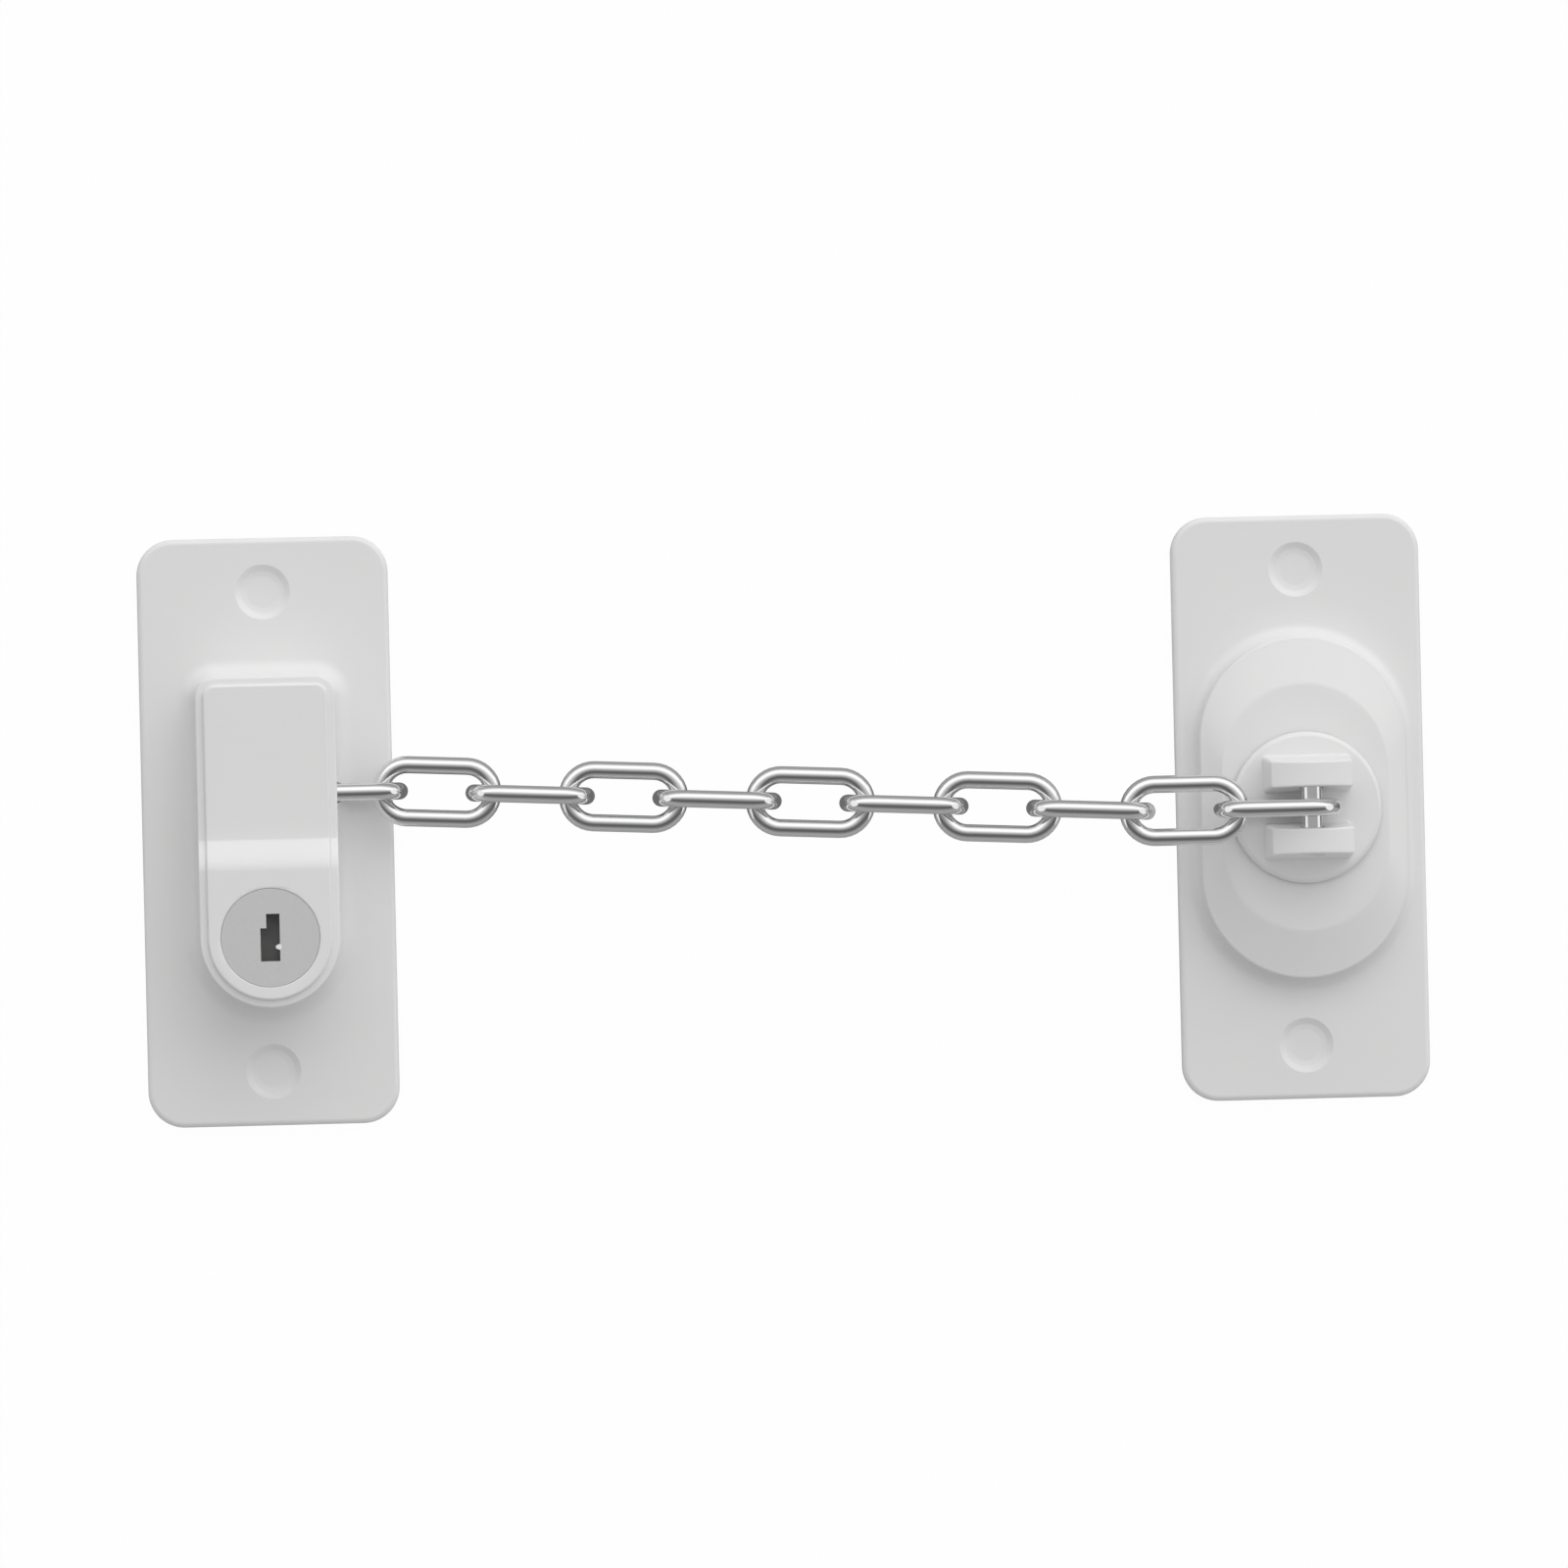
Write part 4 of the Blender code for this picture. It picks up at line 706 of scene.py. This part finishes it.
# %% [markdown]
# ## The anchor housing
#
# The same plate carries an oblong boss: a hollow skirt, a short wall, a round
# edge, and a slope up to a smaller oblong on which the swivel turns. Both
# oblongs are straight sides between two half circles, so the same stations
# serve both, and the slope runs straight from one to the other.

# %% Shape the boss and carve it
ANCHOR_X = sum(corner.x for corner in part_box("hinge_pin")) / 2


def oblong_outlines(sizes, straight_steps=10):
    """The plate's loop, one for each (half width, half height), their directions and a cap's row count."""
    straight = (sizes[0][1] - sizes[0][0]) * MM
    high = corner_walk((0.0, straight), steps=(20, 14, 24))
    low = below(high)
    share = np.linspace(-1, 1, straight_steps + 1)[1:-1]
    side_way = ways(1, 0, len(share))
    loops = [np.concatenate((low[0], plan(PLATE_HALF[0], share * straight), high[0]))]
    for half_width, half_height in sizes:
        radius, centre = half_width * MM, (half_height - half_width) * MM
        loops.append(np.concatenate(((0, -centre) + radius * low[2], plan(radius, share * centre),
                                     (0, centre) + radius * high[2])))
    plate_way = np.concatenate((low[1], side_way, high[1]))
    way = np.concatenate((low[2], side_way, high[2]))
    return [mirror_round(part) for part in loops + [plate_way, way]], len(loops[0])


BOSS_HALF, TIER_HALF = (15.75, 26.0), (12.6, 18.8)
BOSS_SKIRT, BOSS_FLAT, BOSS_EDGE, BOSS_EDGE_Z, BOSS_ROOF = (v * MM for v in (2.0, 0.3, 0.5, 7.4, 4.8))
TIER_Z, TIER_ROOF, TIER_SOFT, TIER_DROP, TIER_FLAT = (v * MM for v in (9.2, 7.0, 0.08, 0.035, 0.25))
SLOPE_SHARES = (0.06, 0.5, 0.94)
(ANCHOR_PLATE, BOSS, TIER, ANCHOR_PLATE_WAY, BOSS_WAY), BOSS_ROWS = oblong_outlines([BOSS_HALF, TIER_HALF])


def anchor_rings():
    """The closed profile, from the hollow's ceiling round the plate and up to the tier."""
    boss, tier = partial(ring, BOSS, BOSS_WAY), partial(ring, TIER, BOSS_WAY)
    plate = partial(ring, ANCHOR_PLATE, ANCHOR_PLATE_WAY)
    rings = [tier(WALL, TIER_ROOF), boss(WALL, BOSS_ROOF)] + foot_rings(boss, plate, BOSS_SKIRT, BOSS_FLAT)
    rings += edge(boss, 0.0, BOSS_EDGE_Z, BOSS_EDGE, steps=5)
    start, end = rings[-1], tier(0.0, TIER_Z)
    rings += [start + (end - start) * share for share in SLOPE_SHARES]
    rings += [tier(TIER_SOFT, TIER_Z - TIER_DROP), tier(-TIER_FLAT, TIER_Z)]
    return np.array(rings)


def flat_at(height):
    """The height of a flat cap at any x and y."""
    return lambda x, y: np.full_like(x, height)


anchor_surface = anchor_rings()
tier_cap = cap(anchor_surface[-1], BOSS_ROWS, CAP_COLUMNS, flat_at(TIER_Z))
under_cap = cap(anchor_surface[0], BOSS_ROWS, CAP_COLUMNS, flat_at(TIER_ROOF))
for grid in (anchor_surface, tier_cap, under_cap):
    grid[..., 0] += ANCHOR_X
anchor_housing = add_object(solid_mesh("anchor_housing_fine", anchor_surface, tier_cap, under_cap))
carve(anchor_housing, [*dish_tools(ANCHOR_X), drill("stem_bore", STEM_BORE, (ANCHOR_X, 0))])
dress(smooth(anchor_housing), white_plastic, "anchor", ["anchor_housing"])

# %% [markdown]
# ## The key plug
#
# Its round face lies almost flush in the lock block. The keyway is the darkest
# place in the picture: a stepped slot with a ward on its right side, whose tip
# catches the light. It is a prism cut down into the barrel. Inside it the zinc
# is painted darker, as painted shade, and the ward's tip gets a painted
# highlight. Lower down the barrel has a slot for each wafer, open at both ends so
# that the wafer can slide out of it, with a pocket for its spring, and at the
# foot a square tail for the cam.

# %% Make the plug
KEYWAY_HALF, KEYWAY_DEEP = (1.75 * MM, 3.95 * MM), 18.05 * MM
WARD_PLACE, WARD_REACH = Vector((1.2 * MM, PLUG_Y - 1.4 * MM, 18.2 * MM)), 0.48 * MM
# The grey for deep in the keyway is painted shade, and the white on the ward's tip is a painted highlight.
CAST_DARK, CAST_PALE, WARD_PAINTED_HIGHLIGHT, KEYWAY_PAINTED_SHADE = (grey(value) for value in (0.66, 0.72, 1.0, 0.58))
CAST_ROUGH, CAST_SPREAD, CAST_SIZE, CAST_DEPTH = 0.42, 0.10, 400 * UM, 3 * UM
KEYWAY = np.array([(-1.48, -3.55), (1.42, -3.55), (1.42, -1.88), (0.8, -1.6), (0.8, -1.2), (1.42, -0.92),
                   (1.42, 3.57), (-0.58, 3.57), (-0.58, 1.43), (-1.48, 1.43)])
KEYWAY_HEIGHTS = (9.2, 20.0)
WAFERS, SLOT_HALF, SLOT_END, WAFER_ROOM = 4, 2.65, 6.0, 0.2
POCKET_SIDE, POCKET_LAP, POCKET_FOOT, POCKET_HEAD = 4.25, 0.2, -2.2, 2.5
TAIL = ((-2.1, -2.1, 5.7), (2.1, 2.1, 7.5))
BARREL, FACE_RADIUS, FACE_SOFT = 5.5, 7.4, 0.08
BARREL_FOOT, FACE_BACK, FACE_FRONT = 7.0, 16.6, 18.2

plug_zinc = Finish("plug_zinc", Metallic=0.5)
beside = plug_zinc.axis("X").size().below(KEYWAY_HALF[0])
along = (plug_zinc.axis("Y") - PLUG_Y).size().below(KEYWAY_HALF[1])
# Deep in the keyway the zinc is painted darker: painted shade in the slot.
inside = plug_zinc.axis("Z").below(KEYWAY_DEEP) * beside * along
# Round the ward's tip the colour turns white: a painted highlight.
from_ward = plug_zinc.node("VectorMath", {0: plug_zinc.place(), 1: WARD_PLACE},
                           operation="DISTANCE", output="Value")
cast = plug_zinc.noise(CAST_SIZE, detail=4.0)
face = plug_zinc.mix(from_ward.below(WARD_REACH), plug_zinc.mix(cast, CAST_DARK, CAST_PALE), WARD_PAINTED_HIGHLIGHT)
plug_zinc.feed("Base Color", plug_zinc.mix(inside, face, KEYWAY_PAINTED_SHADE))
plug_zinc.feed("Roughness", CAST_ROUGH + CAST_SPREAD * cast)
plug_zinc.bump(cast, CAST_DEPTH)


def upright(outline, heights):
    """Loops of one outline in mm, at each of some heights."""
    return np.array([np.column_stack((outline, np.full(len(outline), z))) for z in heights])


def block(name, low, high):
    """A box between two corners, in mm from the plug's axis and the window."""
    low, high = (np.array(corner) + (0, PLUG_Y / MM, 0) for corner in (low, high))
    corners = [(low[0], low[1]), (high[0], low[1]), (high[0], high[1]), (low[0], high[1])]
    return fanned_mesh(name, *upright(corners, (low[2], high[2])))


def numbered(stem, count):
    """Names such as stem_1 and stem_2, up to a count."""
    return [f"{stem}_{number}" for number in range(1, count + 1)]


def wafer_slots():
    """For each wafer a slot right through the barrel and a pocket beside it for its spring."""
    for wafer in numbered("wafer", WAFERS):
        low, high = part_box(wafer)
        bottom, top = low.z / MM - WAFER_ROOM, high.z / MM + WAFER_ROOM
        half, side = SLOT_HALF + WAFER_ROOM, POCKET_SIDE + WAFER_ROOM
        yield block("wafer_slot", (-half, -SLOT_END, bottom), (half, SLOT_END, top))
        yield block("spring_pocket", (half - POCKET_LAP, POCKET_FOOT, bottom),
                    (side, POCKET_HEAD + WAFER_ROOM, top))


rim = rounded_profile([(BARREL, FACE_BACK), (FACE_RADIUS, FACE_BACK), (FACE_RADIUS, FACE_FRONT),
                       (0, FACE_FRONT)], (0, 0, FACE_SOFT, 0))
plug_profile = np.concatenate(([(0, BARREL_FOOT), (BARREL, BARREL_FOOT)], rim))
key_plug = add_object(turned("key_plug_fine", plug_profile, (0, PLUG_Y), steps=120))
carve(key_plug, [block("tail", *TAIL)], "UNION")
keyway = prism_mesh("keyway", upright(KEYWAY, KEYWAY_HEIGHTS) * MM + (0, PLUG_Y, 0))
screw_hole = drill("cam_screw_hole", CAM_SCREW_HOLE, (0, PLUG_Y), steps=32)
carve(key_plug, [keyway, screw_hole, *wafer_slots()])
dress(smooth(key_plug), plug_zinc.material, "plug", ["key_plug"])

# %% [markdown]
# ## The chain
#
# A link is round wire bent into an oblong and welded. A circle is carried round
# a path of two half circles and two straights. All eleven links are the same,
# turned a quarter about their length one after the other, and the chain climbs
# from the low slot in the lock to the pin on the anchor. The turns and hinge
# points repeat what the CAD chain does.

# %% Bend and place the links
WIRE, LINK_WIDTH, PITCH, PLAY = 2.6 * MM, 10.6 * MM, 14.1 * MM, 0.25 * MM
EXIT = Vector((5.825, 5.7, 8.9)) * MM
PIN_Z = 16.65 * MM
LINKS, CLIMBING, DRIFTING = 11, 9, 8
CLIMB = math.asin((PIN_Z - EXIT.z) / (CLIMBING * PITCH))
DRIFT = math.asin(EXIT.y / (DRIFTING * PITCH * math.cos(CLIMB)))


def link_grid(around=20, bend=18, straight=4):
    """Tube round an oblong path in its own XY plane; the wire of the link before is at its origin.

    Path: centre + R * (cos, sin) on each bow, straight between.
    Tube: path + r * (cos a * out + sin a * z)."""
    radius = (LINK_WIDTH - WIRE) / 2
    set_back = WIRE / 2 + PLAY
    left = LINK_WIDTH / 2 - WIRE - set_back
    right = PITCH + PLAY - set_back - (LINK_WIDTH / 2 - WIRE)
    out = rays(np.linspace(-math.pi / 2, math.pi / 2, bend + 1))
    bow = (right, 0) + radius * out
    top = line((right, radius), (left, radius), straight)[1:]
    path = np.concatenate((bow, top, (left, 0) - radius * out, top[::-1] * (1, -1)))
    way = np.concatenate((out, ways(0, 1, len(top)), -out, ways(0, -1, len(top))))
    angle = (np.arange(around) * 2 * math.pi / around)[None, :, None]
    flat = path[:, None, :] + WIRE / 2 * np.cos(angle) * way[:, None, :]
    height = np.broadcast_to(WIRE / 2 * np.sin(angle), flat.shape[:2] + (1,))
    return np.concatenate((flat, height), axis=-1)


def link_turn(number):
    """Which way a link points: links 1 to 9 climb to the pin, links 1 to 8 drift down to its middle."""
    climb = CLIMB if 1 <= number <= CLIMBING else 0.0
    drift = DRIFT if 1 <= number <= DRIFTING else 0.0
    return Matrix.Rotation(-drift, 4, "Z") @ Matrix.Rotation(-climb, 4, "Y")


tube = link_grid()
hinge = EXIT.copy()
for number in range(LINKS):
    placed = Matrix.Translation(hinge) @ link_turn(number)
    if number % 2 == 0:
        placed @= Matrix.Rotation(math.pi / 2, 4, "X")
    matrix = np.array(placed)
    grid = tube @ matrix[:3, :3].T + matrix[:3, 3]
    closed = np.concatenate((grid, grid[:1]))
    name = f"chain_link_{number:02d}"
    link = add_object(solid_mesh(f"{name}_fine", closed))
    link.data.shade_smooth()
    dress(link, chromed_steel, f"link_{number:02d}", [name])
    hinge += link_turn(number).to_3x3() @ Vector((PITCH, 0, 0))

# %% [markdown]
# ## The swivel
#
# A round disc that turns on the boss, with two ears that hold the pin. An ear
# is a block that gets thinner towards its top, as it has to leave the mould, and
# its top is a flat arch, so its front shades from left to right like a barrel.
# The leaning walls show from the front: bright above each ear, dark below it.
# The pin comes in through the lower ear and ends inside the upper one.

# %% Make the disc and the ears
EAR_HALF, EAR_NEAR, EAR_FAR, EAR_TOP, EAR_ARCH = (v * MM for v in (6.6, 2.35, 7.8, 19.5, 12.5))
DISC_FACE, EAR_COLUMNS, EAR_CORNER = 10.9 * MM, 14, 0.6 * MM
EAR_FOOT, EAR_EDGE, LEAN_X, LEAN_Y, EAR_ROOT, EAR_SINK = (v * MM for v in (0.30, 0.28, 0.30, 0.85, 0.7, 0.01))
DISC = [(0, 10.9), (11.5, 10.9), (11.5, 9.5), (4.0, 9.5), (4.0, 6.7), (0, 6.7)]
DISC_RADII = (0, 0.8, 0.1, 0, 0, 0)
PIN, PIN_HOLE, PIN_EDGE = (1.75, -7.0, 6.6), (1.9, -12, 6.7), 0.2


def ear_outline():
    """The ear's plan: points and outward directions, from the middle of its near side round to it again.

    Then the numbers of the points where the side's round corners begin and end."""
    ray = rays(np.linspace(0, math.pi / 2, 7))
    near_bend = (EAR_HALF - EAR_CORNER, EAR_NEAR + EAR_CORNER) + EAR_CORNER * ray[::-1] * (1, -1)
    far_bend = (EAR_HALF - EAR_CORNER, EAR_FAR - EAR_CORNER) + EAR_CORNER * ray
    across = np.linspace(0, EAR_HALF - EAR_CORNER, EAR_COLUMNS + 1)[:-1]
    up = line((EAR_HALF, EAR_NEAR + EAR_CORNER), (EAR_HALF, EAR_FAR - EAR_CORNER), steps=6)[1:]
    near, far = plan(across, EAR_NEAR), plan(across[::-1], EAR_FAR)
    points = np.concatenate((near, near_bend, up, far_bend, far))
    way = np.concatenate((ways(0, -1, len(near)), ray[::-1] * (1, -1), ways(1, 0, len(up)), ray,
                          ways(0, 1, len(far))))
    return mirror_round(points), mirror_round(way), len(near), len(near) + 2 * len(ray) + len(up)


def arch_height(x):
    """Height of the ear's top: TOP - R + sqrt(R^2 - x^2)."""
    return EAR_TOP - EAR_ARCH + np.sqrt(EAR_ARCH ** 2 - x ** 2)


def ear_top(rim, first, last):
    """The arched top: rows between the curved near and far edges of the last ring.

    y = side's y + (1 - v) * bow of the near edge + v * bow of the far edge; z = arch height."""
    right = rim[first:last, :2]
    share = np.linspace(1, -1, 2 * EAR_COLUMNS + 1)
    x = right[:, :1] * share
    near, far = rim[first::-1, 1], rim[last - 1:last + EAR_COLUMNS, 1]
    near_bow, far_bow = (np.concatenate((edge, edge[-2::-1])) - edge[0] for edge in (near, far))
    v = (right[:, 1:] - right[0, 1]) / (right[-1, 1] - right[0, 1])
    y = right[:, 1:] + (1 - v) * near_bow + v * far_bow
    return np.stack((x, y, arch_height(x)), axis=-1)


def ear_mesh(side):
    """The ear: a hollow at the foot, walls that lean in as they rise, a crisp edge and the arched top."""
    points, way, first, last = ear_outline()
    middle, half_depth = (EAR_NEAR + EAR_FAR) / 2, (EAR_FAR - EAR_NEAR) / 2
    wall = partial(ring, points, way)
    rings = [wall(EAR_FOOT, DISC_FACE - EAR_ROOT)]
    rings += fillet(wall, 0.0, DISC_FACE - EAR_SINK, EAR_FOOT, steps=4)
    narrow = points[:, 0] * (1 - LEAN_X / EAR_HALF)
    rise = (arch_height(narrow) - DISC_FACE) / (EAR_TOP - DISC_FACE)
    leant = plan(narrow, middle + (points[:, 1] - middle) * (1 - LEAN_Y / half_depth * rise))
    for back, drop in quarter_round(EAR_EDGE, steps=5):
        flat = leant - back * way
        rings.append(np.column_stack((flat, arch_height(flat[:, 0]) - drop)))
    rings = np.array(rings)
    top = ear_top(rings[-1], first, last)
    under = cap(rings[0][first:], last - first, EAR_COLUMNS, flat_at(DISC_FACE - EAR_ROOT))
    for grid in (rings, top, under):
        grid[..., 1] *= side
        grid[..., 0] += ANCHOR_X
    return solid_mesh("ear", rings, top, under)


disc_profile = rounded_profile(DISC, DISC_RADII, steps=8)
swivel = add_object(turned("swivel_clevis_fine", disc_profile, (ANCHOR_X, 0), steps=144))
carve(swivel, [ear_mesh(1), ear_mesh(-1)], "UNION")


def lying_bar(name, radius, low, high, soft):
    """A round bar along y at the pin's height, its ends softened by (back, drop) pairs."""
    profile = [(radius - back, high - drop) for back, drop in soft]
    profile += [(radius - back, low + drop) for back, drop in soft[::-1]]
    return turned(name, [(0, high)] + profile + [(0, low)], (ANCHOR_X, PIN_Z), steps=48, order=LYING)


pin_hole = lying_bar("pin_hole", *PIN_HOLE, [(0, 0)])
carve(swivel, [pin_hole, drill("screw_hole", SCREW_HOLE, (ANCHOR_X, 0), steps=32)])
dress(smooth(swivel), white_plastic, "swivel", ["swivel_clevis"])
hinge_pin = add_object(lying_bar("hinge_pin_fine", *PIN, quarter_round(PIN_EDGE, steps=4)))
dress(smooth(hinge_pin), chromed_steel, "swivel", ["hinge_pin"])

# %% [markdown]
# ## The adhesive pads
#
# Each pad is a sheet of foam tape with round corners. Cut foam springs back a
# little at mid height, so its edge bulges, and it stays flat on both faces,
# where it lies against the plate and the window.

# %% Make the pads
PAD_THICKNESS, PAD_MARGIN, PAD_BULGE, PAD_INSET = (v * MM for v in (0.8, 1.2, 0.12, 0.05))


def all_round(corner):
    """A loop from its upper right corner, mirrored down and across."""
    right = np.concatenate((corner[::-1] * (1, -1), corner))
    return np.concatenate((right, right[::-1] * (-1, 1)))


def pad_mesh(name, centre_x):
    """A rounded rectangle carried up a bulging edge: offset = bulge * sin(pi * share of height) - inset."""
    half, corner = PLATE_HALF - PAD_MARGIN, PLATE_CORNER - PAD_MARGIN
    ray = rays(np.linspace(0, math.pi / 2, 13))
    loop, way = all_round(half - corner + corner * ray), all_round(ray)
    rings = [ring(loop, way, PAD_BULGE * math.sin(math.pi * share) - PAD_INSET, share * PAD_THICKNESS)
             for share in np.linspace(0, 1, 9)]
    return prism_mesh(name, np.array(rings) + (centre_x, 0, 0))


for side, x in (("lock", 0.0), ("anchor", ANCHOR_X)):
    pad = add_object(pad_mesh(f"{side}_adhesive_pad_fine", x))
    dress(smooth(pad), foam_tape, side, [f"{side}_adhesive_pad"])

# %% [markdown]
# ## The parts that keep their CAD shape
#
# Covers, screws, cylinder, wafers, springs, cam, bolt and washer are plain
# parts whose CAD solids are right as they are. They only get a finish.

# %% Finish the CAD parts
KEPT = {
    cover_plastic: ["lock_back_cover", "anchor_back_cover"],
    satin_zinc: ["cylinder_shell", "locking_bolt"],
    brass: numbered("wafer", WAFERS),
    spring_steel: numbered("wafer_spring", WAFERS),
    zinc_plated_steel: ["cam", "cam_screw", "swivel_washer", "swivel_screw",
                        *numbered("lock_cover_screw", 3), *numbered("anchor_cover_screw", 4)],
}
for material, names in KEPT.items():
    for name in names:
        nodes[name].data.materials.clear()
        nodes[name].data.materials.append(material)
    print(material.name, "on", len(names), "nodes")

# %% [markdown]
# ## Floor and light
#
# The picture is a product shot on white: soft light from all round, most of it
# from above, and a background without a horizon. A white floor lies under the
# pads. For the camera and in mirrors it is nearly all glow, so it looks white,
# and the little that is lit keeps the object's shadow.
#
# What is matt is lit by the world, as in a tent. From the direction d the light
# is even + lean . d + front * max(z, 0)^2 + glow * max(way . d, 0)^4: an even
# part, a slope to the upper right, more from straight in front, and a broad glow
# above. The camera and mirrors see the world white. A lamp to the upper right
# makes the light a little harder on that side.

# %% Build the stage
TENT_EVEN, TENT_LEAN, TENT_FRONT, TENT_GLOW = 0.44, (0.10, 0.20), 0.29, 1.00
TENT_WAY = unit(np.array((0.20, 0.85, 0.48))).tolist()
FLOOR_GLOW, FLOOR_LEVEL, FLOOR_HALF = 0.97, 0.9, 6.0


def sees_background(tree):
    """1 for camera, glossy and transmission rays, else 0."""
    path = tree.nodes.new("ShaderNodeLightPath")
    camera_ray, glossy, through = (Wire(tree, path.outputs[f"Is {kind} Ray"])
                                   for kind in ("Camera", "Glossy", "Transmission"))
    return camera_ray.largest(glossy).largest(through)


world = bpy.data.worlds.new("studio")
world.use_nodes = True
bpy.context.scene.world = world
sky = world.node_tree
background = sky.nodes["Background"]
background.inputs["Color"].default_value = grey(1.0)
place = sky.nodes.new("ShaderNodeTexCoord")
split = sky.nodes.new("ShaderNodeSeparateXYZ")
sky.links.new(place.outputs["Generated"], split.inputs[0])
way_x, way_y, way_z = (Wire(sky, split.outputs[letter]) for letter in "XYZ")
facing = (TENT_WAY[0] * way_x + TENT_WAY[1] * way_y + TENT_WAY[2] * way_z).largest(0.0)
facing = facing * facing
in_front = way_z.largest(0.0)
tent = TENT_EVEN + TENT_LEAN[0] * way_x + TENT_LEAN[1] * way_y + TENT_GLOW * facing * facing
tent = tent + TENT_FRONT * in_front * in_front
viewed = sees_background(sky)
plug_in(sky, background.inputs["Strength"], viewed + (1 - viewed) * tent)

floor = Finish("studio_floor", Roughness=0.9, Base_Color=grey(FLOOR_LEVEL), Specular_IOR_Level=0.0)
lit = Wire(floor.tree, floor.shader.outputs[0])
glow_share = sees_background(floor.tree) * FLOOR_GLOW
floor.surface(floor.node("MixShader", {0: glow_share, 1: lit, 2: floor.glow(1.0)}))


def stage_piece(mesh, material, seen=True):
    """Puts a piece of the stage into the scene; one that isn't seen is for mirrors only."""
    item = add_object(mesh)
    mesh.materials.append(material)
    item.visible_camera = item.visible_diffuse = item.visible_shadow = seen
    item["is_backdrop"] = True


def sheet_mesh(name, low, high, height):
    """A flat sheet between two corners."""
    x, y = np.meshgrid(*zip(low, high), indexing="ij")
    return grid_mesh(name, np.stack((x, y, np.full_like(x, height)), axis=-1))


floor_mesh = sheet_mesh("floor", (-FLOOR_HALF, -FLOOR_HALF), (FLOOR_HALF, FLOOR_HALF), 0.0)
stage_piece(floor_mesh, floor.material)
print("the tent glows from", np.round(TENT_WAY, 2), "and the floor by", FLOOR_GLOW)

# %% [markdown]
# Chrome shows the room, so the room gets three glowing pieces that only mirrors
# see, and what they show in the chrome is painted reflection: a tunnel of card
# over the chain, a grey sheet on the floor that mirrors see in place of the white
# floor, and a dark strip on it under the chain, painted shade under the chain as
# mirrors see it. The tunnel is half a tube along the chain. A round wire mirrors
# the whole room from top to bottom, squeezed into its own width, so the levels at
# each turn from straight ahead are set until the wire shows the bands of the
# picture. Between them the brightness is worked out for each point of the grid
# and kept as an attribute of the mesh.

# %% Build what the chrome sees
MIRROR_TURNS = (-90, -77, -60, -47, -32, -18, -7, 7, 21, 35, 50, 63, 80, 90)
MIRROR_LEVELS = (0.40, 0.42, 0.29, 0.18, 0.11, 0.15, 0.28, 0.52, 0.85, 1.25, 1.30, 1.05, 0.55, 0.42)
TUNNEL_RADIUS, TUNNEL_HALF, TUNNEL_END = 1.0, 1.6, 89.5
THROWN = 1.0
# The darker sheet is painted shade: mirrors see it as the floor shaded under the chain.
SHEETS = {"grey_sheet": ((-1.5, -1.0), (1.7, 1.0), 0.0002, 0.38),
          "mirrored_shade_strip": ((-1.5, -0.006), (1.7, 0.012), 0.0003, 0.17)}


def tunnel_mesh():
    """Half a tube: (x, R sin a, R cos a), with its glow at each turn a between the levels above."""
    turns = np.linspace(-TUNNEL_END, TUNNEL_END, 120)
    x, turn = np.meshgrid(AIM.x + TUNNEL_HALF * np.array((-1, 1)), np.radians(turns), indexing="ij")
    arc = np.stack((x, TUNNEL_RADIUS * np.sin(turn), TUNNEL_RADIUS * np.cos(turn)), axis=-1)
    mesh = grid_mesh("tunnel", arc)
    glow = mesh.attributes.new("glow", "FLOAT", "POINT")
    glow.data.foreach_set("value", np.tile(np.interp(turns, MIRROR_TURNS, MIRROR_LEVELS), 2))
    return mesh


def glowing(name, strength):
    """A material that only glows: strength is a number, or the name of an attribute.

    It glows so for what the camera sees mirrored. What chrome throws on the plastic
    is white light instead: strength * (1 - d) + THROWN * d, with d = 1 once a path
    has met something matt."""
    finish = Finish(name)
    if isinstance(strength, str):
        strength = finish.node("Attribute", output="Fac", attribute_name=strength)
    onward = finish.node("LightPath", output="Diffuse Depth").smallest(1.0)
    finish.surface(finish.glow(strength * (1 - onward) + THROWN * onward))
    return finish.material


# These pieces glow for mirrors only: painted reflections in the chrome.
stage_piece(tunnel_mesh(), glowing("tunnel_glow", "glow"), seen=False)
for name, (low, high, height, strength) in SHEETS.items():
    stage_piece(sheet_mesh(name, low, high, height), glowing(f"{name}_glow", strength), seen=False)
print("the tunnel glows by", min(MIRROR_LEVELS), "to", max(MIRROR_LEVELS))

# %% Hang the lamp
LAMP_WAY = Vector((0.453, 0.751, 0.482)).normalized()
LAMP_WIDTH, LAMP_WATTS, LAMP_DISTANCE = 2.4, 4.0, 1.6
lamp_data = bpy.data.lights.new("softbox", "AREA")
lamp_data.shape, lamp_data.size, lamp_data.energy = "DISK", LAMP_WIDTH, LAMP_WATTS
lamp = add_object(lamp_data)
lamp.location = AIM + LAMP_WAY * LAMP_DISTANCE
lamp.rotation_euler = LAMP_WAY.to_track_quat("Z", "Y").to_euler()
bpy.context.scene.view_settings.view_transform = "Standard"
print("lamp at", [round(v, 2) for v in lamp.location], "watts", LAMP_WATTS)

# %% [markdown]
# ## Sizes, and the end
#
# The last cell prints the dressed model's box, to set beside the CAD model's box
# printed at the start.

# %% Print the sizes and finish
lower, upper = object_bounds()
print("visual box in mm:", in_mm((lower, upper)))
